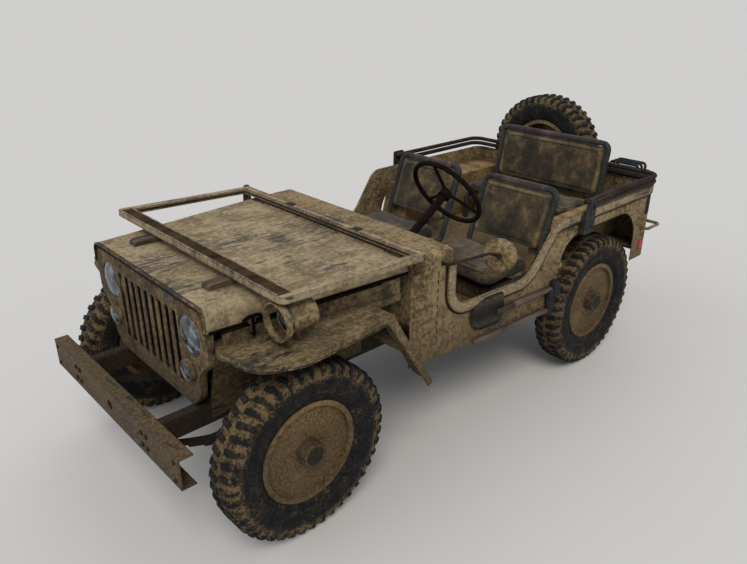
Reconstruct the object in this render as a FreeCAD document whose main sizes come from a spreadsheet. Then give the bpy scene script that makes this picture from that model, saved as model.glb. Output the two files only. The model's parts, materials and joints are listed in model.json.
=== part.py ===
"""Open army 4x4 car, millimetres. +X forward, +Y left, +Z up, origin on the ground under its middle."""
import FreeCAD, Part
import math
import os
import Sketcher
from types import SimpleNamespace

V = FreeCAD.Vector
doc = FreeCAD.newDocument("army_car")

# Driving dimensions: places along the car are measured from the front axle, forward positive
SIZES = {
    "wheelbase": 2032, "track": 1245, "running_gap": 0.3, "moving_gap": 6, "seat_gap": 0.3,
    "tyre_radius": 382, "tyre_width": 160, "rim_radius": 203, "rim_flange": 222, "rim_width": 118,
    "lug_depth": 11, "lug_width": 27, "lug_groove": 8,
    "disc_out": 40, "disc_wall": 6, "drum_radius": 122, "hub_radius": 50, "hub_out": 88, "spindle": 20,
    "sheet_wall": 4, "plate_wall": 6,
    "rail_y": 320, "rail_width": 45, "rail_low": 455, "rail_top": 545, "rail_kick": 590,
    "kick_start": -1500, "kick_end": -1610, "rail_rear": -2590, "member_width": 60,
    "bumper_face": 498, "bumper_half": 590, "bumper_low": 424, "bumper_top": 556, "bumper_depth": 60,
    "crank_hole": 22,
    "grille_face": 282.5, "grille_depth": 30, "grille_half": 475, "grille_top": 994, "grille_low": 552,
    "grille_foot": 380, "slot_width": 30, "slot_pitch": 59.5, "slot_low": 632, "slot_top": 935,
    "lamp_y": 345, "lamp_z": 870, "lamp_radius": 85, "marker_y": 322, "marker_z": 715,
    "marker_radius": 45,
    "hood_half_front": 475, "hood_half_rear": 605, "hood_top": 1016, "hood_top_rear": 1002,
    "hood_side_front": 922, "hood_side_rear": 946, "hood_round": 40, "hood_rear": -597,
    "cowl_front": -608, "cowl_rear": -866, "cowl_top": 998, "cowl_side": 935, "dash_low": 852,
    "dash_wall": 28,
    "tub_half_front": 613.5, "tub_half": 675, "tub_taper_end": -1600, "tub_rear": -2610,
    "rail_line": 963, "tub_low_front": 485, "tub_low": 452, "tub_low_rear": 520,
    "door_front": -872, "door_sill": 712, "door_slope_x": -1385, "door_slope": 53,
    "rim_band": 50, "rim_proud": 8, "arch_front": -1637, "arch_rear": -2425, "arch_top": 853,
    "arch_round": 190, "floor_front": 550, "floor_rear": 594, "floor_step": -1490,
    "well_front": -1625, "well_brow": -1700, "well_inner": 465, "well_top": 868,
    "fender_top": 864, "fender_outer": 768, "fender_outer_rear": 730, "fender_front": 255,
    "fender_rear": -400, "fender_lip": 30, "apron_top_y": 430, "leg_foot": -640, "leg_foot_z": 458,
    "axle_tube": 38, "ball_radius": 52, "kingpin_y": 500, "diff_y": -175, "diff_radius": 112,
    "leaf_width": 44, "leaf_thick": 8, "leaf_count": 5, "leaf_half": 400, "leaf_sag": 92,
    "arm_length": 130, "rod_z": 400, "rod_radius": 11,
    "screen_over": 58.5, "screen_bar": 68, "screen_thick": 26, "screen_side": 40, "screen_front": 88,
    "screen_hinge": -640, "screen_hinge_z": 1028, "screen_tip_z": 1057,
    "bow_radius": 13, "bow_out": 17, "bow_rear": -2590, "bow_low_z": 990, "bow_high_z": 1022,
    "bow_low_pivot": -1855, "bow_high_pivot": -1805,
    "wheel_x": -1121, "wheel_y": 340, "wheel_z": 1131, "wheel_ring": 200, "column_tilt": 33,
    "column_radius": 19, "column_end": -548,
    "seat_tube": 16, "seat_bend": 40, "seat_y": 332, "seat_half": 234, "seat_back_top": 1062,
    "cushion_low": 662, "cushion_top": 752,
    "bench_half": 392, "bench_tube": 16, "bench_back_top": 1160, "bench_back_x": -2520,
    "spare_x": -2703, "spare_y": -174, "spare_z": 987,
    "can_in": 285, "can_width": 150, "can_length": 345, "can_height": 430, "can_low": 610,
    "engine_half": 160, "engine_low": 500, "engine_top": 920, "engine_front": 60,
    "engine_rear": -500, "gearbox_half": 115,
}
sheet = doc.addObject("Spreadsheet::Sheet", "sizes")
for row, (alias, number) in enumerate(SIZES.items(), 1):
    sheet.set(f"A{row}", alias)
    sheet.set(f"B{row}", str(number))
    sheet.setAlias(f"B{row}", alias)
doc.recompute()


class Size:
    """A number that remembers the cells it is worked out from."""

    def __init__(self, number, text):
        self.number = float(number)
        self.text = text

    def __float__(self):
        return self.number

    def __neg__(self):
        return Size(-self.number, f"(-{self.text})")

    def __add__(self, other):
        return Size(self.number + float(other), f"({self.text} + {words(other)})")

    def __radd__(self, other):
        return Size(float(other) + self.number, f"({words(other)} + {self.text})")

    def __sub__(self, other):
        return Size(self.number - float(other), f"({self.text} - {words(other)})")

    def __rsub__(self, other):
        return Size(float(other) - self.number, f"({words(other)} - {self.text})")

    def __mul__(self, other):
        return Size(self.number * float(other), f"({self.text} * {words(other)})")

    def __rmul__(self, other):
        return Size(float(other) * self.number, f"({words(other)} * {self.text})")

    def __truediv__(self, other):
        return Size(self.number / float(other), f"({self.text} / {words(other)})")

    def __rtruediv__(self, other):
        return Size(float(other) / self.number, f"({words(other)} / {self.text})")


def words(value):
    return value.text if isinstance(value, Size) else f"({float(value)})"


def tangent_of(angle):
    return Size(math.tan(math.radians(float(angle))), f"tan({words(angle)})")


def root_of(value):
    return Size(math.sqrt(float(value)), f"sqrt({value.text})")


def xyz(*point):
    return V(*[float(value) for value in point])


d = SimpleNamespace(**{alias: Size(sheet.get(alias), "sizes." + alias) for alias in SIZES})

# The front axle's place: the car's box, from the bumper's face to the spare tyre, is centred on X = 0
front_axle = (d.tyre_width / 2 - d.spare_x - d.bumper_face) / 2
rear_axle = front_axle - d.wheelbase
wheel_z = d.tyre_radius
wheel_y = d.track / 2
# What is fixed to the body's sides keeps its distance from them
d.screen_half = d.tub_half_front + d.screen_over
d.bow_y = d.tub_half + d.bow_out
d.can_y = d.tub_half - d.can_in


def at(x):
    """The X of a place that is measured from the front axle."""
    return front_axle + x


def bind(feature, name, value):
    feature.setExpression(name, words(value))


def new_body(label):
    body = doc.addObject("PartDesign::Body", label)
    body.Label = label
    return body


SIGN = {"XY": 1, "XZ": -1, "YZ": 1}


def new_sketch(body, side, offset):
    """A sketch on the body's own XY, XZ or YZ plane, moved along +Z, +Y or +X by the offset."""
    sketch = body.newObject("Sketcher::SketchObject", body.Label + "_sketch")
    plane = [f for f in body.Origin.OriginFeatures if f.Role == side + "_Plane"][0]
    sketch.AttachmentSupport = (plane, [""])
    sketch.MapMode = "FlatFace"
    sketch.setExpression("AttachmentOffset.Base.z", words(SIGN[side] * (0 + as_size(offset))))
    return sketch


def as_size(value):
    return value if isinstance(value, Size) else Size(value, f"({float(value)})")


def hold(sketch, geometry, end, point):
    """Dimension one point from the sketch's origin."""
    for axis, value, line in (("DistanceX", point[0], -2), ("DistanceY", point[1], -1)):
        if abs(float(value)) < 1e-9:
            sketch.addConstraint(Sketcher.Constraint("PointOnObject", geometry, end, line))
        else:
            made = Sketcher.Constraint(axis, -1, 1, geometry, end, float(value))
            bind(sketch, f"Constraints[{sketch.addConstraint(made)}]", value)


def direction(start, end):
    """The unit direction from one point to another, in the same cells as the points."""
    across, up = as_size(end[0]) - start[0], as_size(end[1]) - start[1]
    if abs(float(across)) < 1e-9:
        return 0, math.copysign(1, float(up))
    if abs(float(up)) < 1e-9:
        return math.copysign(1, float(across)), 0
    reach = root_of(across * across + up * up)
    return across / reach, up / reach


def round_corner(before, corner, after):
    """Where an arc of the corner's radius leaves the two sides, and its middle."""
    back, ahead = direction(corner, before), direction(corner, after)
    turn = as_size(back[0]) * ahead[1] - as_size(back[1]) * ahead[0]
    turn = turn if float(turn) > 0 else -turn
    setback = corner[2] * turn / (1 - (as_size(back[0]) * ahead[0] + as_size(back[1]) * ahead[1]))
    enter = [as_size(corner[i]) + setback * back[i] for i in (0, 1)]
    leave = [as_size(corner[i]) + setback * ahead[i] for i in (0, 1)]
    inward = (xyz(*back, 0) + xyz(*ahead, 0)).normalize()
    sharp = xyz(corner[0], corner[1], 0)
    reach = math.hypot(float(setback), float(corner[2])) - float(corner[2])
    return enter, sharp + inward * reach, leave


def add_loop(sketch, points):
    """A closed outline. A point is (u, v), or (u, v, radius) where its corner is round."""
    count = len(points)
    starts, ends, middles = [None] * count, [None] * count, {}
    for i, point in enumerate(points):
        starts[i] = ends[i - 1] = point
        if len(point) > 2:
            ends[i - 1], middles[i], starts[i] = round_corner(points[i - 1], point, points[(i + 1) % count])
    lines = [sketch.addGeometry(Part.LineSegment(xyz(*a[:2], 0), xyz(*b[:2], 0)), False)
             for a, b in zip(starts, ends)]
    for i in range(count):
        hold(sketch, lines[i], 1, starts[i])
        if i not in middles:
            sketch.addConstraint(Sketcher.Constraint("Coincident", lines[i - 1], 2, lines[i], 1))
            continue
        hold(sketch, lines[i - 1], 2, ends[i - 1])
        enter, leave = xyz(*ends[i - 1], 0), xyz(*starts[i], 0)
        left_turn = (middles[i] - enter).cross(leave - middles[i]).z > 0
        near = 1 if left_turn else 2
        path = (enter, middles[i], leave) if left_turn else (leave, middles[i], enter)
        arc = sketch.addGeometry(Part.Arc(*path), False)
        sketch.addConstraint(Sketcher.Constraint("Coincident", lines[i - 1], 2, arc, near))
        sketch.addConstraint(Sketcher.Constraint("Coincident", lines[i], 1, arc, 3 - near))
        radius = sketch.addConstraint(Sketcher.Constraint("Radius", arc, float(points[i][2])))
        bind(sketch, f"Constraints[{radius}]", points[i][2])


def outline(body, side, offset, *loops):
    sketch = new_sketch(body, side, offset)
    for points in loops:
        add_loop(sketch, points)
    return sketch


def circles(body, side, offset, *rings):
    """Circles of (u, v, radius)."""
    sketch = new_sketch(body, side, offset)
    for u, v, radius in rings:
        ring = sketch.addGeometry(Part.Circle(xyz(u, v, 0), V(0, 0, 1), float(radius)), False)
        hold(sketch, ring, 3, (u, v))
        number = sketch.addConstraint(Sketcher.Constraint("Radius", ring, float(radius)))
        bind(sketch, f"Constraints[{number}]", radius)
    return sketch


def pad(body, sketch, length, flip=False, both=False):
    """A pad towards +Z, +Y or +X, or the other way with flip, or both ways about the sketch."""
    feature = body.newObject("PartDesign::Pad", body.Label + "_pad")
    feature.Profile = sketch
    bind(feature, "Length", length)
    feature.Midplane = both
    feature.Reversed = flip
    return feature


def pad_y(body, sketch, length, flip=False):
    """A pad of an XZ sketch towards +Y, or towards -Y with flip."""
    return pad(body, sketch, length, not flip)


def cut(body, sketch, length=None, flip=False):
    """A pocket against the sketch's normal, or through everything both ways without a length."""
    feature = body.newObject("PartDesign::Pocket", body.Label + "_cut")
    feature.Profile = sketch
    if length is None:
        feature.Type = "ThroughAll"
        feature.Midplane = True
    else:
        bind(feature, "Length", length)
        feature.Reversed = flip
    return feature


def revolve(body, sketch, axis="Y"):
    feature = body.newObject("PartDesign::Revolution", body.Label + "_turned")
    feature.Profile = sketch
    line = [f for f in body.Origin.OriginFeatures if f.Role == axis + "_Axis"][0]
    feature.ReferenceAxis = (line, [""])
    feature.Angle = 360
    return feature


def loft(body, *sketches):
    feature = body.newObject("PartDesign::AdditiveLoft", body.Label + "_loft")
    feature.Profile = sketches[0]
    feature.Sections = list(sketches[1:])
    feature.Ruled = True
    return feature


def hollow_loft(body, *sketches):
    feature = body.newObject("PartDesign::SubtractiveLoft", body.Label + "_hollow")
    feature.Profile = sketches[0]
    feature.Sections = list(sketches[1:])
    feature.Ruled = True
    return feature


def repeat(body, feature, axis, length, count):
    """Copies of a feature along one of the body's own axes."""
    pattern = body.newObject("PartDesign::LinearPattern", body.Label + "_row")
    pattern.Originals = [feature]
    line = [f for f in body.Origin.OriginFeatures if f.Role == axis + "_Axis"][0]
    pattern.Direction = (line, [""])
    bind(pattern, "Length", length)
    pattern.Occurrences = count
    body.Tip = pattern
    return pattern


def mirror(body, *features):
    """The same features on the other side of the car."""
    pattern = body.newObject("PartDesign::Mirrored", body.Label + "_mirror")
    pattern.Originals = list(features)
    plane = [f for f in body.Origin.OriginFeatures if f.Role == "XZ_Plane"][0]
    pattern.MirrorPlane = (plane, [""])
    body.Tip = pattern
    return pattern


def place(item, x, y, z, turn=None):
    """Put an item where its own origin belongs, turned about +Z by the angle given."""
    if turn is not None:
        item.Placement = FreeCAD.Placement(V(0, 0, 0), FreeCAD.Rotation(V(0, 0, 1), turn))
    for name, value in (("x", x), ("y", y), ("z", z)):
        bind(item, "Placement.Base." + name, value)
    return item


def block(name, low, high):
    """A box between two corners."""
    box = doc.addObject("Part::Box", name)
    place(box, *low)
    for side, a, b in zip(("Length", "Width", "Height"), low, high):
        bind(box, side, as_size(b) - a)
    return box


def rod(name, start, direction, radius, length):
    """A round bar from a start point along a direction."""
    bar = doc.addObject("Part::Cylinder", name)
    bar.Placement = FreeCAD.Placement(V(0, 0, 0), FreeCAD.Rotation(V(0, 0, 1), direction))
    place(bar, *start)
    bind(bar, "Radius", radius)
    bind(bar, "Height", length)
    return bar


def ball(name, centre, radius):
    sphere = doc.addObject("Part::Sphere", name)
    place(sphere, *centre)
    bind(sphere, "Radius", radius)
    return sphere


def fuse(label, *items):
    joined = doc.addObject("Part::MultiFuse", label)
    joined.Label = label
    joined.Shapes = list(items)
    joined.Refine = True
    return joined


def group(label, *items):
    """Like pieces that don't touch, in one node."""
    set_of = doc.addObject("Part::Compound", label)
    set_of.Label = label
    set_of.Links = list(items)
    return set_of


def subtract(label, base, tool):
    left = doc.addObject("Part::Cut", label)
    left.Label = label
    left.Base = base
    left.Tool = tool
    left.Refine = True
    return left


def common(label, base, tool):
    shared = doc.addObject("Part::Common", label)
    shared.Label = label
    shared.Base = base
    shared.Tool = tool
    shared.Refine = True
    return shared


def feature(label, shape):
    item = doc.addObject("Part::Feature", label)
    item.Label = label
    item.Shape = shape
    return item


def tube(points, radius, bend):
    """A round tube along straight runs joined by tangent arcs of one bend radius."""
    corners = [xyz(*p) for p in points]
    radius, bend = float(radius), float(bend)
    edges, here = [], corners[0]
    for i in range(1, len(corners) - 1):
        back = (corners[i - 1] - corners[i]).normalize()
        ahead = (corners[i + 1] - corners[i]).normalize()
        half = back.getAngle(ahead) / 2
        enter = corners[i] + back * (bend / math.tan(half))
        leave = corners[i] + ahead * (bend / math.tan(half))
        centre = corners[i] + (back + ahead).normalize() * (bend / math.sin(half))
        middle = centre + (corners[i] - centre).normalize() * bend
        edges += [Part.LineSegment(here, enter).toShape(), Part.Arc(enter, middle, leave).toShape()]
        here = leave
    edges.append(Part.LineSegment(here, corners[-1]).toShape())
    ring = Part.Wire(Part.makeCircle(radius, corners[0], corners[1] - corners[0]))
    return Part.Wire(edges).makePipeShell([ring], True, False)


nodes = {}


def keep(item):
    nodes[item.Label] = item
    return item


def frame_rails():
    """Two kicked-up rails, and the cross-members between them."""
    body = new_body("frame")
    front = at(d.bumper_face - d.plate_wall - d.seat_gap)
    points = [(front, d.rail_low), (front, d.rail_top), (at(d.kick_start), d.rail_top),
              (at(d.kick_end), d.rail_kick), (at(d.rail_rear), d.rail_kick),
              (at(d.rail_rear), d.rail_kick - (d.rail_top - d.rail_low)),
              (at(d.kick_end), d.rail_kick - (d.rail_top - d.rail_low)),
              (at(d.kick_start), d.rail_low)]
    rail = pad_y(body, outline(body, "XZ", d.rail_y - d.rail_width / 2, points), d.rail_width)
    mirror(body, rail)
    inner = d.rail_y - d.rail_width / 2
    members = []
    for name, x, low, top in (("radiator", 190, d.rail_low, d.rail_top),
                              ("engine", -410, d.rail_low, d.engine_low - d.seat_gap),
                              ("middle", -1330, d.rail_low, d.rail_top),
                              ("tail", d.rail_rear + d.member_width / 2, d.rail_top - 30, d.rail_kick)):
        centre = at(x)
        members.append(block(name + "_member", (centre - d.member_width / 2, -inner, low),
                             (centre + d.member_width / 2, inner, top)))
    keep(body)
    keep(group("cross_members", *members))


def front_bumper():
    """A steel channel, open to the rear, with the crank's hole."""
    body = new_body("front_bumper")
    face, back = at(d.bumper_face), at(d.bumper_face - d.bumper_depth)
    wall = d.plate_wall
    channel = [(face, d.bumper_low), (face, d.bumper_top), (back, d.bumper_top),
               (back, d.bumper_top - wall), (face - wall, d.bumper_top - wall),
               (face - wall, d.bumper_low + wall), (back, d.bumper_low + wall), (back, d.bumper_low)]
    pad(body, outline(body, "XZ", 0, channel), d.bumper_half * 2, both=True)
    middle = (d.bumper_low + d.bumper_top) / 2
    cut(body, circles(body, "YZ", face + wall, (0, middle, d.crank_hole)), wall * 3)
    keep(body)


def rear_bumpers():
    """Two short channel bumpers and the towing hook's block on the tail member."""
    body = new_body("bumper_pair")
    back = at(d.rail_rear - d.seat_gap)
    low, top = d.rail_kick - 130, d.rail_kick - 10
    channel = [(back, low), (back - 60, low), (back - 60, top), (back, top), (back, top - 6),
               (back - 54, top - 6), (back - 54, low + 6), (back, low + 6)]
    side = pad_y(body, outline(body, "XZ", d.rail_y - 110, channel), 240)
    mirror(body, side)
    hook = new_body("tow_hook")
    jaw = [(back, 500), (back, 580), (back - 40, 580), (back - 95, 575, 18), (back - 95, 505, 18),
           (back - 60, 505), (back - 60, 545), (back - 40, 545), (back - 40, 500)]
    pad(hook, outline(hook, "XZ", 0, jaw), 44, both=True)
    keep(group("rear_bumpers", body, hook))


LUGS = 30


def tyre():
    """A tyre about the Y axis, with two staggered rows of bars that turn down over its shoulders."""
    half, rim = d.tyre_width / 2, d.rim_width / 2
    carcass = new_body("tyre_carcass")
    bead, wide, flange = d.rim_radius + d.seat_gap, rim - 6 - d.seat_gap, d.rim_flange + d.seat_gap
    tread = d.tyre_radius - d.lug_depth
    right = [(bead, wide), (flange, wide), (flange + 18, half - 14), (d.tyre_radius - 75, half - 2),
             (tread - 16, half - 10), (tread, half - 30)]
    revolve(carcass, outline(carcass, "XY", 0, right + [(p[0], -p[1]) for p in right[::-1]]))
    top, edge = float(d.tyre_radius), float(half)
    bar = [(float(d.lug_groove), top - 20), (float(d.lug_groove), top), (edge - 22, top), (edge - 4, top - 20),
           (edge, top - 46), (edge - 10, top - 52), (edge - 26, top - 26)]
    rows = []
    for side in (1, -1):
        wire = Part.makePolygon([V(-float(d.lug_width) / 2, side * y, z) for y, z in bar + bar[:1]])
        lug = Part.Face(wire).extrude(V(float(d.lug_width), 0, 0))
        for i in range(LUGS):
            turned = lug.copy()
            turned.rotate(V(0, 0, 0), V(0, 1, 0), 360 / LUGS * (i + (0.5 if side < 0 else 0)))
            rows.append(turned)
    return fuse("tyre_with_lugs", carcass, feature("tyre_lugs", Part.makeCompound(rows)))


def wheel(label, barrel, centre):
    """A pressed wheel about the Y axis, outer side towards +Y: the rim's barrel, then what its disc ends in."""
    body = new_body(label)
    revolve(body, outline(body, "XY", 0, barrel + centre))
    return body


def tyre_and_wheel():
    """Four wheels on their hubs, with octagonal caps over the bearings, and the bare spare."""
    inner, flange, rim = d.rim_radius - d.sheet_wall, d.rim_flange, d.rim_width / 2
    out, wall = d.disc_out, d.disc_wall
    axis = d.spindle + d.running_gap
    barrel = [(inner, out - wall), (inner, -rim), (flange, -rim), (flange, -rim + 6), (inner + 4, -rim + 6),
              (inner + 4, rim - 6), (flange, rim - 6), (flange, rim), (inner, rim), (inner, out)]
    hub = wheel("wheel_on_hub", barrel, [(axis, out), (axis, -38), (d.drum_radius, -38), (d.drum_radius, out - wall)])
    hollow = [(axis + 14, -39), (d.drum_radius - 8, -39), (d.drum_radius - 8, out - wall - 14),
              (axis + 14, out - wall - 14)]
    groove = hub.newObject("PartDesign::Groove", "drum_hollow")
    groove.Profile = outline(hub, "XY", 0, hollow)
    line = [f for f in hub.Origin.OriginFeatures if f.Role == "Y_Axis"][0]
    groove.ReferenceAxis = (line, [""])
    groove.Angle = 360
    corners = [math.radians(22.5 + 45 * i) for i in range(8)]
    reach = d.hub_radius / math.cos(math.pi / 8)
    cap = [(reach * math.cos(a), reach * math.sin(a)) for a in corners]
    pad_y(hub, outline(hub, "XZ", out - 1, cap), d.hub_out - out + 1)
    cut(hub, circles(hub, "XZ", out - 2, (0, 0, axis)), d.hub_out - out - 8)
    worn = tyre()
    for name, x, side in (("front_left", front_axle, 1), ("front_right", front_axle, -1),
                          ("rear_left", rear_axle, 1), ("rear_right", rear_axle, -1)):
        for label, made in (("tyre_", worn), ("wheel_", hub)):
            keep(place(group(label + name, made), x, side * wheel_y, wheel_z, 0 if side > 0 else 180))
    bore = d.hub_radius + 12
    bare = wheel("bare_wheel", barrel, [(bore, out), (bore, out - wall)])
    for label, made in (("spare_tyre", worn), ("spare_wheel", bare)):
        keep(place(group(label, made), at(d.spare_x), d.spare_y, d.spare_z, 90))


def axles():
    """Tubes with the differential's housing; the front one ends in balls for the steering."""
    for name, x, end in (("front_axle", front_axle, d.kingpin_y), ("rear_axle", rear_axle, wheel_y - 50)):
        bar = rod(name + "_tube", (x, -end, wheel_z), V(0, 1, 0), d.axle_tube, end * 2)
        bulge = new_body(name + "_bulge")
        points = [(0, 0), (-95, 0), (-95, 60), (-60, d.diff_radius - 6, 20), (50, d.diff_radius, 20),
                  (95, 55, 20), (95, 0)]
        revolve(bulge, outline(bulge, "XZ", 0, points), "X")
        place(bulge, x, d.diff_y, wheel_z, 0 if name == "front_axle" else 180)
        if name == "front_axle":
            ends = [ball(name + s, (x, y, wheel_z), d.ball_radius)
                    for s, y in (("_ball_left", end), ("_ball_right", -end))]
        else:
            ends = [rod(name + "_stub", (x, -wheel_y - 60, wheel_z), V(0, 1, 0), d.spindle,
                        (wheel_y + 60) * 2)]
            ends += [rod(name + s, (x, y, wheel_z), V(0, 1, 0), d.drum_radius, 6)
                     for s, y in (("_plate_left", end), ("_plate_right", -end - 6))]
        keep(fuse(name, bar, bulge, *ends))


def knuckles():
    """A cup around each axle ball, with the spindle, backing plate and steering arm."""
    for side, name in ((1, "knuckle_left"), (-1, "knuckle_right")):
        body = new_body(name + "_cup")
        inner, outer = d.ball_radius + d.running_gap, d.ball_radius + 12
        cup = [(0, inner), (0, outer), (outer, outer, outer - 0.5), (outer, -12), (inner, -12),
               (inner, inner, inner - 0.5)]
        revolve(body, outline(body, "XY", 0, cup))
        place(body, front_axle, side * d.kingpin_y, wheel_z, 0 if side > 0 else 180)
        out = V(0, side, 0)
        plate_y = side * (wheel_y - 50)
        boss = d.kingpin_y + inner + 2
        pieces = [body, rod(name + "_plate", (front_axle, plate_y, wheel_z), out, d.drum_radius, 6),
                  rod(name + "_boss", (front_axle, side * boss, wheel_z), out, 40, wheel_y - 47 - boss),
                  rod(name + "_spindle", (front_axle, plate_y, wheel_z), out, d.spindle, 120)]
        arm_y = side * d.kingpin_y
        pieces += [rod(name + "_kingpin" + end, (front_axle, arm_y, wheel_z + z), V(0, 0, 1), 22, 22)
                   for end, z in (("_top", inner + 2), ("_low", -inner - 24))]
        arm = block(name + "_arm", (front_axle + d.ball_radius - 7, arm_y - 14, d.rod_z + 14),
                    (front_axle + d.arm_length + 16, arm_y + 14, d.rod_z + 26))
        pin = rod(name + "_pin", (front_axle + d.arm_length, arm_y, d.rod_z - 14), V(0, 0, 1), 6, 32)
        keep(fuse(name, *pieces, arm, pin))


def tie_rod():
    """The rod between the two steering arms, with an eye round each pin."""
    x = front_axle + d.arm_length
    bar = rod("tie_bar", (x, -d.kingpin_y, d.rod_z), V(0, 1, 0), d.rod_radius, d.kingpin_y * 2)
    eyes = [rod("tie_eye" + s, (x, y, d.rod_z - 13), V(0, 0, 1), 17, 26)
            for s, y in (("_left", d.kingpin_y), ("_right", -d.kingpin_y))]
    holes = [rod("tie_hole" + s, (x, y, d.rod_z - 20), V(0, 0, 1), 6 + d.running_gap, 40)
             for s, y in (("_left", d.kingpin_y), ("_right", -d.kingpin_y))]
    keep(subtract("tie_rod", fuse("tie_solid", bar, *eyes), fuse("tie_holes", *holes)))


def leaf_springs():
    """Four packs of leaves, each leaf shorter than the one above."""
    radius = (d.leaf_half * d.leaf_half + d.leaf_sag * d.leaf_sag) / (2 * d.leaf_sag)
    packs = []
    top_z = float(wheel_z - d.axle_tube - d.seat_gap)
    for name, x in (("front", front_axle), ("rear", rear_axle)):
        lift = 0 if name == "front" else float(d.rail_kick - d.rail_top)
        for side in (1, -1):
            leaves = []
            r = float(radius)
            for i in range(int(float(d.leaf_count))):
                r_in, r_out = r + i * float(d.leaf_thick), r + (i + 1) * float(d.leaf_thick)
                share = 1 - 0.17 * i
                angle = math.asin(float(d.leaf_half) * share / r)
                centre = V(float(x), 0, top_z + r)
                rim = []
                for reach in (r_in, r_out):
                    rim.append([centre + V(reach * math.sin(t), 0, -reach * math.cos(t))
                                for t in (-angle, 0, angle)])
                wire = Part.Wire([Part.Arc(*rim[0]).toShape(),
                                  Part.LineSegment(rim[0][2], rim[1][2]).toShape(),
                                  Part.Arc(*rim[1][::-1]).toShape(),
                                  Part.LineSegment(rim[1][0], rim[0][0]).toShape()])
                leaf = Part.Face(wire).extrude(V(0, float(d.leaf_width), 0))
                leaf.translate(V(0, side * float(d.rail_y) - float(d.leaf_width) / 2, 0))
                leaves.append(leaf)
            tip = float(d.leaf_sag) + top_z
            for end in (-1, 1):
                low = V(float(x) + end * float(d.leaf_half) - 14, side * float(d.rail_y) - 22, tip - 6)
                height = float(d.rail_low) + lift - float(d.seat_gap) - low.z
                leaves.append(Part.makeBox(28, 44, height, low))
            packs.append(leaves[0].multiFuse(leaves[1:]).removeSplitter())
    keep(feature("leaf_springs", Part.makeCompound(packs)))


def drive_line():
    """The engine as one block, the gearbox, and the two shafts to the axles."""
    keep(block("engine_block", (at(d.engine_rear), -d.engine_half, d.engine_low),
               (at(d.engine_front), d.engine_half, d.engine_top)))
    box_front = at(d.engine_rear - d.seat_gap)
    box = block("gear_case", (box_front - 560, -d.gearbox_half, 390),
                (box_front, d.gearbox_half, d.floor_front - d.sheet_wall - 6))
    transfer = block("transfer_case", (box_front - 760, d.diff_y - 70, 330),
                     (box_front - 500, 60, d.rail_top - 15))
    gearbox = fuse("gear_cases", box, transfer)
    front = rod("front_shaft", (box_front - 500 + d.seat_gap, d.diff_y, wheel_z), V(1, 0, 0), 26,
                front_axle - 95 - d.seat_gap * 2 - box_front + 500)
    rear = rod("rear_shaft", (rear_axle + 95 + d.seat_gap, d.diff_y, wheel_z), V(1, 0, 0), 26,
               box_front - 760 - d.seat_gap * 2 - rear_axle - 95)
    keep(group("transmission", gearbox, front, rear))
    keep(block("radiator", (at(165), -235, d.rail_top + d.seat_gap), (at(215), 235, 965)))
    muffler = rod("muffler", (at(-1000), 360 + 62, 400), V(-1, 0, 0), 60, 380)
    pipe = rod("tail_pipe", (at(-1380), 422, 400), V(-1, 0, 0), 20, 180)
    hanger = block("exhaust_hanger", (at(-1200), 342.8, 440), (at(-1160), 420, 470))
    keep(fuse("exhaust", muffler, pipe, hanger))


def grille():
    """The stamped nine-slot grille with a turned edge."""
    body = new_body("grille")
    wall = d.sheet_wall
    half, foot, low, top = d.grille_half, d.grille_foot, d.grille_low, d.grille_top
    step = d.hood_side_front - d.moving_gap - 2

    def half_of(inset):
        """The right half of the edge from the bottom middle, moved in by the inset."""
        return [(foot - 60 - inset, low + inset), (foot - inset, low + 60, 40),
                (foot + 12 - inset, 720, 60), (half - inset, 790, 60), (half - inset, step - inset),
                (half - 13 - inset, step - inset), (half - 13 - inset, top - inset, 44)]

    def ring(inset):
        right = half_of(inset)
        left = [(-p[0],) + tuple(p[1:]) for p in right[::-1]]
        return right + left

    pad(body, outline(body, "YZ", at(d.grille_face - d.grille_depth), ring(0)), d.grille_depth)
    cut(body, outline(body, "YZ", at(d.grille_face - wall), ring(wall)), d.grille_depth)
    first = d.slot_pitch * -4
    slot = [(first - d.slot_width / 2, d.slot_low, 10), (first + d.slot_width / 2, d.slot_low, 10),
            (first + d.slot_width / 2, d.slot_top, 10), (first - d.slot_width / 2, d.slot_top, 10)]
    one = cut(body, outline(body, "YZ", at(d.grille_face + 1), slot), wall + 2)
    repeat(body, one, "Y", d.slot_pitch * 8, 9)
    cut(body, circles(body, "YZ", at(d.grille_face + 1), (d.lamp_y, d.lamp_z, d.lamp_radius),
                      (-d.lamp_y, d.lamp_z, d.lamp_radius)), wall + 2)
    keep(body)


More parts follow.
